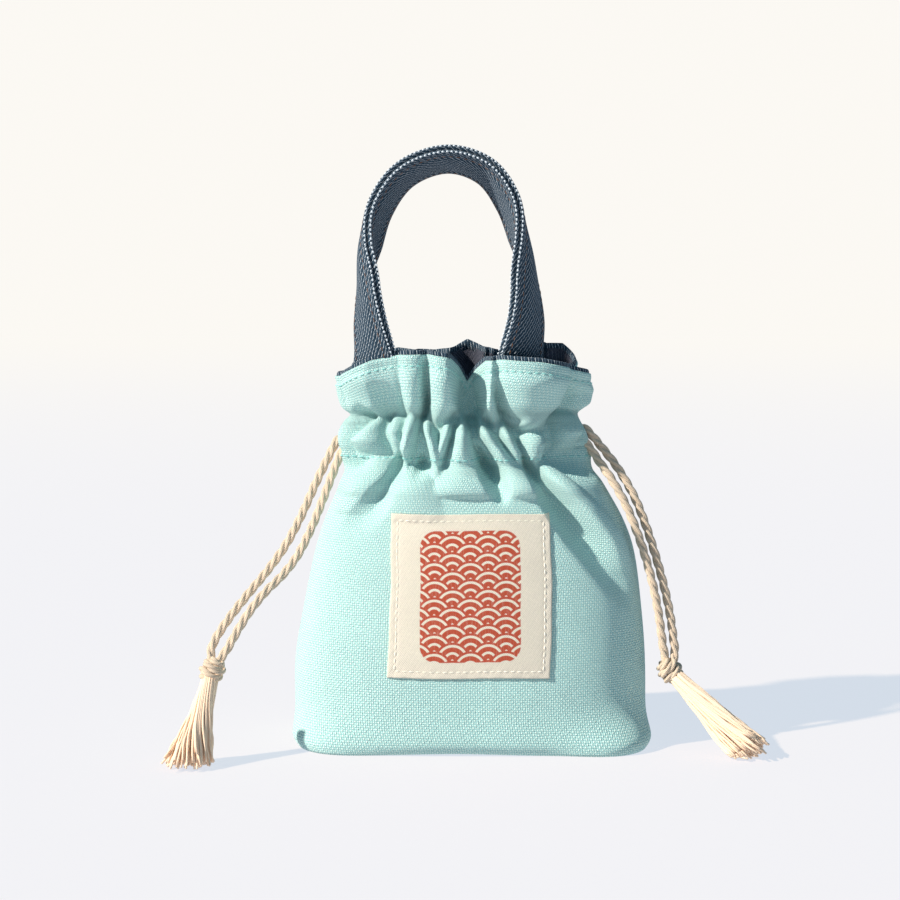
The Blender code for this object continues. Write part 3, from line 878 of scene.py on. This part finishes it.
def cord_material(settings):
    """Natural cotton with fine plies that run across the strands."""
    f = Finish("cotton_cord", 0.9, sheen=0.2, sheen_tint=(1.0, 0.95, 0.85))
    m = f.m
    axis = separated(f.tree, f.uv())
    phase = m("ADD", m("MULTIPLY", axis["X"], math.pi * 18), m("MULTIPLY", axis["Y"], 2600.0))
    ply = m("ABSOLUTE", m("SINE", phase))
    mottle = f.group("mottle", Place=f.place(), Slow=260.0, Fine=2600.0)
    shade = m("MULTIPLY", m.step(ply, 0.5, 0.0), 0.6)
    colour = f.mix(shade, tuple(settings.cord), tinted(settings.cord, 0.5))
    tone = m.around(mottle["Value"], 0.3, m.around(mottle["Fuzz"], 0.5))
    return f.finish(f.scaled(colour, tone), m("ADD", ply, mottle["Fuzz"]), 0.00014, 0.8)


def thread_material(name, colour):
    f = Finish(name, 0.7, sheen=0.15)
    mottle = f.group("mottle", Place=f.place(), Slow=900.0, Fine=5200.0)
    shade = f.scaled(f.mix(0.0, colour, colour), f.m.around(mottle["Fuzz"], 0.5))
    return f.finish(shade, mottle["Fuzz"], 0.00008, 0.7)


# ---------------------------------------------------------------- settings

def colour_setting(name, description, default):
    return FloatVectorProperty(name=name, description=description, subtype="COLOR", default=default)


def length_setting(name, description, default):
    return FloatProperty(
        name=name, description=description, default=default, subtype="DISTANCE", unit="LENGTH"
    )


class PouchSettings(bpy.types.PropertyGroup):
    """Sizes and colours of the cloth pieces."""

    canvas: colour_setting("Canvas", "Dyed canvas", (0.67, 0.875, 0.815))
    lining: colour_setting("Lining", "Warp of the denim lining", (0.045, 0.05, 0.075))
    weave_pitch: length_setting("Weave pitch", "Between canvas threads", 0.00088)
    canvas_thickness: length_setting("Canvas thickness", "One layer", 0.0010)
    lining_thickness: length_setting("Lining thickness", "One layer", 0.0008)
    columns: IntProperty(
        name="Columns", description="Faces from one side seam to the other", default=230, min=40, max=300
    )
    patch: colour_setting("Patch", "Patch cloth", (0.88, 0.80, 0.67))
    ink: colour_setting("Ink", "Printed pattern", (0.55, 0.075, 0.03))
    wave_radius: length_setting("Wave radius", "Each disc of the pattern", 0.0066)
    print_width: length_setting("Print width", "Printed field", 0.037)
    print_height: length_setting("Print height", "Printed field", 0.048)


class StrapSettings(bpy.types.PropertyGroup):
    """Sizes and colours of the handle."""

    width: length_setting("Width", "Folded strap", 0.018)
    denim: colour_setting("Denim", "Indigo warp", (0.013, 0.037, 0.063))
    weft: colour_setting("Weft", "Undyed weft", (0.62, 0.68, 0.74))
    wale: length_setting("Wale pitch", "Between diagonal lines", 0.0013)


class CordSettings(bpy.types.PropertyGroup):
    """Sizes and colour of the drawstrings."""

    diameter: length_setting("Diameter", "Twisted cord", 0.0034)
    lay: length_setting("Lay", "Length of one full turn of a strand", 0.0150)
    cord: colour_setting("Cord", "Natural cotton", (0.70, 0.56, 0.425))
    yarns: IntProperty(
        name="Yarns", description="Yarns of one tassel", default=170, min=20, max=400
    )


def add_piece(name, mesh, material, replaces=()):
    obj = bpy.data.objects.new(name, mesh)
    bpy.context.scene.collection.objects.link(obj)
    mesh.materials.append(material)
    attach(obj, "root")
    if replaces:
        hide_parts(*replaces)
    return obj


def thickened(obj, thickness, offset=-1.0):
    solidify = obj.modifiers.new("thickness", "SOLIDIFY")
    solidify.thickness = thickness
    solidify.offset = offset


# ---------------------------------------------------------------- pieces

class KINCHAKU_OT_stage(bpy.types.Operator):
    """Glowing floor that lifts its own shadows, sun from the left, soft sky and the camera"""

    bl_idname = "kinchaku.stage"
    bl_label = "Stage"

    def execute(self, context):
        scene = context.scene
        bpy.ops.mesh.primitive_plane_add(size=8)
        floor = context.object
        floor.name = "floor"
        material = bpy.data.materials.new("glowing_floor")
        material.use_nodes = True
        tree = material.node_tree
        shader = tree.nodes["Principled BSDF"]
        shader.inputs["Roughness"].default_value = 0.95
        shader.inputs["Specular IOR Level"].default_value = 0.0
        shader.inputs["Emission Strength"].default_value = 1.0
        place = separated(tree, tree.nodes.new("ShaderNodeTexCoord").outputs["Object"])
        far = Maths(tree).step(place["Y"], 0.15, 3.0)
        # painted light: near the pouch the floor glows pale blue, which lifts its cast shadows and lights
        # the pouch from below; its own colour is kept dark so that the sunlit floor is not too bright.
        # Further back it glows as the backdrop.
        for socket, near_colour, far_colour in (
            ("Base Color", (0.225, 0.172, 0.126), (0.0, 0.0, 0.0)),
            ("Emission Color", (0.63, 0.685, 0.773), BACKDROP),
        ):
            tree.links.new(colour_mix(tree, far, near_colour, far_colour), shader.inputs[socket])
        floor.data.materials.append(material)

        world = bpy.data.worlds.new("soft_sky")
        scene.world = world
        world.use_nodes = True
        background = world.node_tree.nodes["Background"]
        seen = world.node_tree.nodes.new("ShaderNodeLightPath").outputs["Is Camera Ray"]
        sky = colour_mix(world.node_tree, seen, SKY, BACKDROP)
        world.node_tree.links.new(sky, background.inputs["Color"])
        background.inputs["Strength"].default_value = 1.0

        sun = bpy.data.lights.new("sun", "SUN")
        sun.energy = 5.7
        sun.color = (1.0, 0.93, 0.83)
        sun.angle = math.radians(2.0)
        lamp = bpy.data.objects.new("sun", sun)
        scene.collection.objects.link(lamp)
        lamp.rotation_euler = Vector(SUN_TRAVEL).to_track_quat("-Z", "Y").to_euler()

        camera = bpy.data.cameras.new("camera")
        camera.lens = 85
        camera.sensor_width = 36
        camera.clip_start = 0.01
        viewer = bpy.data.objects.new("camera", camera)
        scene.collection.objects.link(viewer)
        viewer.location = (-0.0078, -0.8089, 0.1958)
        viewer.rotation_euler = (math.radians(84.0), 0, 0)
        scene.camera = viewer
        scene.view_settings.view_transform = "Standard"
        return {"FINISHED"}


def strand_path(side, place):
    """The strand from inside the casing, out of the side opening and down to its knot."""
    sign = -1 if side == "left" else 1
    first = np.array(STRAND_ROUTES[side, place][0])
    inward = -2.3 if place == "front" else 2.3
    start = (first[0] - sign * 5.6, inward, first[2] + 0.6)
    turn = (first[0] - sign * 2.0, inward * 0.62, first[2] + 0.5)
    return through([start, turn, *STRAND_ROUTES[side, place], KNOTS[side]], 240)


def rope_piece(name, path, settings, material, node, share=1.0, around=30):
    """A closed rope along a path in mm, in place of a CAD node, thinner by the share given."""
    grid, uv = rope_grid(path, share * settings.diameter / MM, settings.lay / MM, around)
    mesh = capped(mesh_from_grid(name, grid, uv, wrap=True), len(grid), grid.shape[1])
    return add_piece(name, mesh, material, (node,))


def casing_path(side):
    """A drawstring's round inside the casing: the section there, drawn in towards its middle."""
    height = EXIT_HEIGHTS[side]
    fractions = np.linspace(0.02, 0.98, 180) + (0 if side == "left" else 0.5)
    x, y, _ = level_rings(np.array([height]), (fractions % 1.0)[None, :])
    lean = envelope(np.array([height]))[2][0]
    return np.stack([lean + (x[0] - lean) * 0.77, y[0] * 0.38, np.full(180, height)], axis=1)


class KINCHAKU_OT_drawstrings(bpy.types.Operator):
    """Three-strand cotton drawstrings: the runs inside the casing and the free strands"""

    bl_idname = "kinchaku.drawstrings"
    bl_label = "Drawstrings"

    def execute(self, context):
        settings = context.scene.kinchaku_cord
        material = cord_material(settings)
        # painted light: the tassel's yarns are the cord's colour made lighter
        yarn = thread_material("cotton_yarn", tinted(settings.cord, YARN_LIGHTENING))
        for side in ("left", "right"):
            knot = knot_piece(side, settings, material)
            tassel = tassel_piece(side, settings, yarn)
            for place in ("front", "back"):
                path = strand_path(side, place)
                name = f"{side}_{place}_strand"
                piece = rope_piece(name, path, settings, material, f"{side}_cord_{place}_strand")
                piece.visible_shadow = knot.visible_shadow = side == "right"
            rope_piece(f"{side}_casing_run", casing_path(side), settings, material,
                       f"{side}_cord_casing_run", around=18)
        return {"FINISHED"}


def knot_piece(side, settings, material):
    """Both strands tied together, pulled tight: a cord wound four times round a small spheroid.

    x = a cos(v) cos(u), y = b cos(v) sin(u), z = c sin(v), u and v growing together, then tilted.
    """
    share = np.linspace(0, 1, 260)
    u = 2 * math.pi * KNOT_TURNS * share
    v = np.radians(-80 + 160 * share)
    wide, deep, tall = KNOT_RADII
    curve = np.stack([wide * np.cos(v) * np.cos(u), deep * np.cos(v) * np.sin(u), tall * np.sin(v)], axis=1)
    lean = math.radians(KNOT_LEAN if side == "left" else -KNOT_LEAN)
    turn = np.array([[math.cos(lean), 0, math.sin(lean)], [0, 1, 0], [-math.sin(lean), 0, math.cos(lean)]])
    path = curve @ turn.T + np.array(KNOTS[side])
    return rope_piece(f"{side}_overhand_knot", path, settings, material, f"{side}_knot", 0.84, 24)


def tassel_piece(side, settings, material):
    """The frayed ends: thin wavy yarns that leave the knot in a bundle and spread to the floor."""
    random = np.random.default_rng(11 if side == "left" else 12)
    count = settings.yarns
    knot, end = np.array(KNOTS[side]), np.array(TASSEL_ENDS[side])
    start = knot + unit(end - knot) * 2.0
    steps = 14
    t = np.linspace(0, 1, steps)[None, :]
    bearing = random.uniform(0, 2 * math.pi, (count, 1))
    out = np.sqrt(random.uniform(0, 1, (count, 1)))
    reach = random.normal(1.0, 0.055, (count, 1))
    axis = unit(end - start)
    side_way = unit(np.cross(axis, (0, 1, 0.2)))
    deep = np.cross(side_way, axis)
    spread = 2.7 + 6.6 * t**1.8 if side == "left" else 2.7 + 4.6 * t**1.3
    swirl = bearing + 1.2 * t
    wave = 0.55 * t * np.sin(t * random.uniform(9, 18, (count, 1)) + bearing * 3)
    radial = out * spread + wave
    along = start + axis * (np.linalg.norm(end - start) * reach * t)[:, :, None]
    path = (along + (radial * np.cos(swirl))[:, :, None] * side_way
            + (radial * np.sin(swirl) + wave)[:, :, None] * deep * 0.86)
    thin = 0.54 * (1 - 0.25 * t)
    low = 0.8 + random.uniform(0, 1.5, (count, 1)) * t
    path[:, :, 2] = np.where(path[:, :, 2] < low, low, path[:, :, 2])
    tangent = unit(np.gradient(path, axis=1))
    lateral = unit(np.cross(tangent, (0.2, 0.9, 0.3)))
    upward = np.cross(lateral, tangent)
    sides = 5
    angle = np.linspace(0, 2 * math.pi, sides, endpoint=False)
    ring = (np.cos(angle)[None, None, :, None] * lateral[:, :, None]
            + np.sin(angle)[None, None, :, None] * upward[:, :, None])
    points = path[:, :, None] + ring * thin[:, :, None, None]
    name = f"{side}_frayed_tassel"
    faces = grid_quads(steps, sides, wrap=True)
    mesh = joined_mesh(name, points.reshape(count, steps * sides, 3), faces)
    uv = mesh.uv_layers.new(name="cloth")
    corner = np.empty(len(mesh.loops), np.int32)
    mesh.loops.foreach_get("vertex_index", corner)
    place = np.stack([(corner % sides) / sides, (corner // sides % steps) * 0.0012], axis=1)
    uv.data.foreach_set("uv", place.astype(np.float32).ravel())
    work = bmesh.new()
    work.from_mesh(mesh)
    bmesh.ops.holes_fill(work, edges=work.edges, sides=sides)
    bmesh.ops.recalc_face_normals(work, faces=work.faces)
    work.to_mesh(mesh)
    work.free()
    return add_piece(name, mesh, material, (f"{side}_tassel",))


def stepped_rows(edge, tangent, profile):
    """Rows beside an edge, each some way inwards and up from it, in mm."""
    normal = np.stack([tangent[:, 1], -tangent[:, 0], np.zeros(len(tangent))], axis=1)
    return np.array([edge - normal * inward + np.array([0, 0, up]) for inward, up in profile])


def cloth_uv(grid):
    """Flat map in metres: each row by its own length from the middle, and the middle's length up."""
    middle = grid[:, grid.shape[1] // 2]
    up = arc_length(middle)
    step = np.linalg.norm(np.diff(grid, axis=1), axis=2)
    along = np.concatenate([np.zeros((len(grid), 1)), np.cumsum(step, axis=1)], axis=1)
    along -= along[:, -1:] / 2
    return np.stack([along, np.broadcast_to(up[:, None], along.shape)], axis=2) * MM


def canvas_panel(place, columns):
    """Bottom, wall and hem of one canvas panel as a grid, with the wall and its tangents, in mm."""
    front = place == "front"
    wall, tangent = wall_grid(front, columns)
    floor = bottom_rows(wall[0], 12, -1 if front else 1)
    hem = stepped_rows(wall[-1], tangent[-1], CANVAS_HEM)
    return np.concatenate([floor, wall, hem]), wall, tangent


class KINCHAKU_OT_canvas(bpy.types.Operator):
    """Front and back canvas panels, gathered at the casing"""

    bl_idname = "kinchaku.canvas"
    bl_label = "Canvas panels"

    def execute(self, context):
        settings = context.scene.kinchaku_pouch
        material = canvas_material(settings)
        thread = thread_material("canvas_thread", tinted(settings.canvas, THREAD_TINT))
        for place in ("front", "back"):
            grid, wall, _ = canvas_panel(place, settings.columns)
            name = f"{place}_canvas"
            mesh = mesh_from_grid(name, grid, cloth_uv(grid))
            panel = add_piece(name, mesh, material, (f"outer_{place}_panel",))
            thickened(panel, settings.canvas_thickness)
            normals = grid_normals(wall)
            casing_row = int(np.searchsorted(wall_heights(), 108.6))
            for label, row in (("rim", len(wall) - 6), ("casing", casing_row)):
                run = stitch_run(wall[row], normals[row], STITCH_PITCH)
                line = stitches(f"{place}_{label}_stitches", *run, 2.1, 0.26)
                add_piece(f"{place}_{label}_stitches", line, thread)
        return {"FINISHED"}


def lining_grid(place, columns):
    """The lining behind the canvas: close to it on the body, clear of the cords at the casing,
    with the same folds again in the frill, and room in front for the strap's ends."""
    front = place == "front"
    heights = np.concatenate([np.linspace(1.6, 96, 34, endpoint=False), np.linspace(96, 145, 56)])
    fractions = np.linspace(0, 0.5, columns + 1)[None, :] + (0 if front else 0.5)
    spread = rim_spread(front, heights, fractions)
    z = heights[:, None] + spread
    fractions = np.repeat(fractions, len(heights), axis=0)
    x, y, tangent, perimeter = section_points(heights, fractions)
    relief = wall_relief(front, fractions, z, perimeter)
    follow = smoothstep(126, 137, z) + 1 - smoothstep(84, 96, z)
    casing = smoothstep(98, 108, z) * (1 - smoothstep(124, 133, z))
    inset = 1.9 + 13.4 * casing
    if front:
        for end in (STRAP_ROUTE[1], STRAP_ROUTE[-2]):
            centre = across_to_fraction(end[0], np.array([141.0]))[0]
            off = np.abs(fractions - centre) * perimeter
            inset = inset + 4.4 * (1 - smoothstep(9.0, 12.5, off)) * smoothstep(128, 135, z)
    relief = np.minimum(relief * follow - inset, relief - 1.9)
    wall = smoothed(moved_out(x, y, z, tangent, relief), 2)
    floor = bottom_rows(wall[0], 8, -1 if front else 1)
    floor[:, :, 2] = heights[0]
    return np.concatenate([floor, wall])


class KINCHAKU_OT_lining(bpy.types.Operator):
    """Front and back denim lining panels, rolled over a little at the rim"""

    bl_idname = "kinchaku.lining"
    bl_label = "Denim lining"

    def execute(self, context):
        settings = context.scene.kinchaku_pouch
        strap = context.scene.kinchaku_strap
        material = denim_material("denim_lining", settings.lining, (0.36, 0.34, 0.36),
                                  pitch=0.0011, slope=0.7, dot=0.0012, show=0.5)
        edge = denim_material("denim_rim", strap.denim, strap.weft,
                              pitch=0.0013, slope=0.15, dot=0.004, show=0.85)
        for place in ("front", "back"):
            body = lining_grid(place, 150)
            name = f"{place}_lining"
            mesh = mesh_from_grid(name, body[:, ::-1], cloth_uv(body))
            panel = add_piece(name, mesh, material, (f"lining_{place}_panel",))
            thickened(panel, settings.lining_thickness, 1.0)
            _, wall, tangent = canvas_panel(place, settings.columns)
            roll = stepped_rows(wall[-1], tangent[-1], RIM_ROLL)
            rim = mesh_from_grid(f"{place}_rim_roll", roll, cloth_uv(roll))
            piece = add_piece(f"{place}_rim_roll", rim, edge)
            thickened(piece, settings.lining_thickness * 0.6)
        return {"FINISHED"}


def patch_grid(count):
    """The patch lies on the front canvas: its points are the wall's, moved out, in mm."""
    (wide, tall), (middle_x, middle_z) = PATCH_SIZE, PATCH_MIDDLE
    u = np.linspace(-0.5, 0.5, count)
    heights = middle_z + u * tall
    fractions = np.linspace(0.08, 0.42, 500)[None, :]
    wall, _ = wall_points(True, heights, fractions)
    x = middle_x + u[None, :] * wide
    x = x + 0.9 * np.sin((u[:, None] + 0.5) * math.pi) * np.clip(u[None, :] * 2, 0, 1) ** 3
    x = x - 1.3 * np.clip(-u[:, None] * 2, 0, 1) * np.clip(-u[None, :] * 2, 0, 1) ** 2
    x = np.broadcast_to(x, (count, count)) + 0.10 * np.sin(u[:, None] * 17)
    row = np.arange(count)[:, None] * 1000.0
    y = np.interp((x + row).ravel(), (wall[:, :, 0] + row).ravel(), wall[:, :, 1].ravel())
    y = y.reshape(count, count)
    from_edge = (0.5 - np.maximum(np.abs(u)[:, None], np.abs(u)[None, :])) * wide
    lift = 0.72 - 0.16 * np.exp(-(((from_edge - 2.4) / 0.6) ** 2))
    pucker = 0.10 * np.sin(u[:, None] * 62 + 1) * np.sin(u[None, :] * 55) * np.exp(-((from_edge / 5) ** 2))
    z = np.broadcast_to(heights[:, None], (count, count)) + 0.15 * np.sin(u[None, :] * 9)
    return np.stack([x, y - lift - pucker, z], axis=2), u * wide * MM, u * tall * MM


class KINCHAKU_OT_patch(bpy.types.Operator):
    """Cream twill patch with a printed wave pattern, topstitched to the front"""

    bl_idname = "kinchaku.patch"
    bl_label = "Front patch"

    def execute(self, context):
        settings = context.scene.kinchaku_pouch
        grid, flat_x, flat_y = patch_grid(121)
        uv = np.stack(np.broadcast_arrays(flat_x[None, :], flat_y[:, None]), axis=2)
        mesh = mesh_from_grid("twill_patch", grid, uv)
        patch = add_piece("twill_patch", mesh, patch_material(settings), ("front_patch",))
        thickened(patch, 0.0005)
        normals = grid_normals(grid)
        inset = 5
        ring = [(grid[inset, inset:-inset], normals[inset, inset:-inset]),
                (grid[inset:-inset, -inset - 1], normals[inset:-inset, -inset - 1]),
                (grid[-inset - 1, inset:-inset][::-1], normals[-inset - 1, inset:-inset][::-1]),
                (grid[inset:-inset, inset][::-1], normals[inset:-inset, inset][::-1])]
        runs = [stitch_run(line, normal, 2.5) for line, normal in ring]
        centre, along, normal = (np.concatenate(part) for part in zip(*runs))
        thread = thread_material("cream_thread", (0.93, 0.87, 0.75))
        mesh = stitches("patch_stitches", centre, along, normal, 1.9, 0.25)
        line = add_piece("patch_stitches", mesh, thread)
        return {"FINISHED"}


def strap_frames(count):
    """The strap's middle line and, at each point, its way across and its outward way."""
    route = through(STRAP_ROUTE, count)
    centre, turn = route[:, :3], np.radians(route[:, 3])
    along = unit(np.gradient(centre, axis=0))
    lean = math.radians(STRAP_TILT) * np.sin(turn) ** 4
    across = np.stack([np.cos(turn), -np.sin(turn) * np.cos(lean), np.sin(lean)], axis=1)
    across = unit(across - along * (across * along).sum(axis=1)[:, None])
    return centre, across, np.cross(across, along)


def strap_profile(half):
    """The folded strap seen end on, as points (across, out) in mm, anticlockwise.

    Both faces bulge as a lens. One edge is the fold. The other shows the two turned-in edges with
    a gap between them. A groove runs where each row of stitches pulls the layers together.
    """
    w = np.linspace(-1, 1, 34)
    thick = 1.85 + 0.85 * (1 - w**2) ** 0.8
    thick = thick - 0.42 * np.exp(-(((np.abs(w) - 0.72) / 0.06) ** 2))
    lower = np.stack([w * (half - 1.0), -thick], axis=1)
    upper = np.stack([w[::-1] * (half - 1.0), thick[::-1]], axis=1)
    turn = np.linspace(-math.pi / 2, math.pi / 2, 7)
    near, far = (np.stack([half - 1.0 + np.cos(turn), out + 0.96 * np.sin(turn)], axis=1)
                 for out in (-1.02, 1.02))
    notch = np.array([[half - 2.2, 0.0]])
    fold_turn = np.linspace(math.pi / 2, 3 * math.pi / 2, 9)[1:-1]
    fold = np.stack([-(half - 1.0) + np.cos(fold_turn), 1.85 * np.sin(fold_turn)], axis=1)
    return np.concatenate([lower, near, notch, far, upper, fold])


class KINCHAKU_OT_strap(bpy.types.Operator):
    """Denim handle: a folded, topstitched strap that turns a quarter turn up each leg"""

    bl_idname = "kinchaku.strap"
    bl_label = "Handle strap"

    def execute(self, context):
        settings = context.scene.kinchaku_strap
        half = settings.width / MM / 2
        centre, across, outward = strap_frames(300)
        profile = strap_profile(half)
        bow_height = np.clip((172 - centre[:, 2]) / 24, 0, 1) * 1.6
        bow_height = bow_height + 3.4 * np.exp(-(((centre[:, 2] - 184) / 15) ** 2))
        bow = bow_height[:, None] * (0.35 - (profile[:, 0] / half) ** 2)[None, :]
        grid = (centre[:, None] + profile[None, :, :1] * across[:, None]
                + (profile[None, :, 1] + bow)[:, :, None] * outward[:, None])
        around, reach = arc_length(profile), arc_length(centre)
        uv = np.stack(np.broadcast_arrays(around[None, :], reach[:, None]), axis=2) * MM
        mesh = mesh_from_grid("denim_strap", grid, uv, wrap=True)
        capped(mesh, len(grid), len(profile))
        material = denim_material("strap_denim", settings.denim, settings.weft,
                                  pitch=settings.wale, slope=0.55, dot=0.0016, show=0.9)
        add_piece("denim_strap", mesh, material, ("handle_strap",))
        rust = thread_material("rust_thread", (0.17, 0.075, 0.035))
        pale = thread_material("pale_weft", tuple(settings.weft))
        seam, beads = (rust, 2.05, 2.8, 2.1, 0.17), (pale, 1.2, 1.65, 1.1, 0.36)
        for label, place, face, (thread, out, pitch, length, radius) in (
            ("outer_left_seam", -0.74, 1, seam),
            ("outer_right_seam", 0.74, 1, seam),
            ("inner_left_seam", -0.74, -1, seam),
            ("inner_right_seam", 0.74, -1, seam),
            ("outer_edge_beads", 1.0, 1, beads),
            ("inner_edge_beads", 1.0, -1, beads),
        ):
            out = face * out
            bend = bow_height * (0.35 - place**2)
            reach = place * (half - (0.12 if place == 1.0 else 0.0))
            line = centre + across * reach + outward * (out + bend)[:, None]
            facing = across + outward * 0.25 * out if place == 1.0 else outward * face
            run = stitch_run(line[8:-8], facing[8:-8], pitch)
            mesh = stitches(f"strap_{label}", *run, length, radius)
            add_piece(f"strap_{label}", mesh, thread)
        return {"FINISHED"}


class KINCHAKU_PT_panel(bpy.types.Panel):
    """Lists the pouch's pieces"""

    bl_label = "Kinchaku Pouch"
    bl_idname = "KINCHAKU_PT_panel"
    bl_space_type = "VIEW_3D"
    bl_region_type = "UI"
    bl_category = "Kinchaku"

    def draw(self, context):
        for settings in (context.scene.kinchaku_pouch, context.scene.kinchaku_strap,
                         context.scene.kinchaku_cord):
            box = self.layout.box()
            for name in settings.__annotations__:
                box.prop(settings, name)
        for operator in OPERATORS:
            self.layout.operator(operator.bl_idname)


SETTINGS = (
    (PouchSettings, "kinchaku_pouch"),
    (StrapSettings, "kinchaku_strap"),
    (CordSettings, "kinchaku_cord"),
)
OPERATORS = (
    KINCHAKU_OT_stage,
    KINCHAKU_OT_drawstrings,
    KINCHAKU_OT_canvas,
    KINCHAKU_OT_lining,
    KINCHAKU_OT_patch,
    KINCHAKU_OT_strap,
)


def register():
    for group, name in SETTINGS:
        bpy.utils.register_class(group)
        setattr(bpy.types.Scene, name, PointerProperty(type=group))
    for operator in OPERATORS:
        bpy.utils.register_class(operator)
    bpy.utils.register_class(KINCHAKU_PT_panel)


def unregister():
    bpy.utils.unregister_class(KINCHAKU_PT_panel)
    for operator in reversed(OPERATORS):
        bpy.utils.unregister_class(operator)
    for group, name in reversed(SETTINGS):
        delattr(bpy.types.Scene, name)
        bpy.utils.unregister_class(group)


def main():
    register()
    bpy.ops.kinchaku.stage()
    bpy.ops.kinchaku.drawstrings()
    bpy.ops.kinchaku.canvas()
    bpy.ops.kinchaku.lining()
    bpy.ops.kinchaku.patch()
    bpy.ops.kinchaku.strap()


if __name__ == "__main__":
    main()
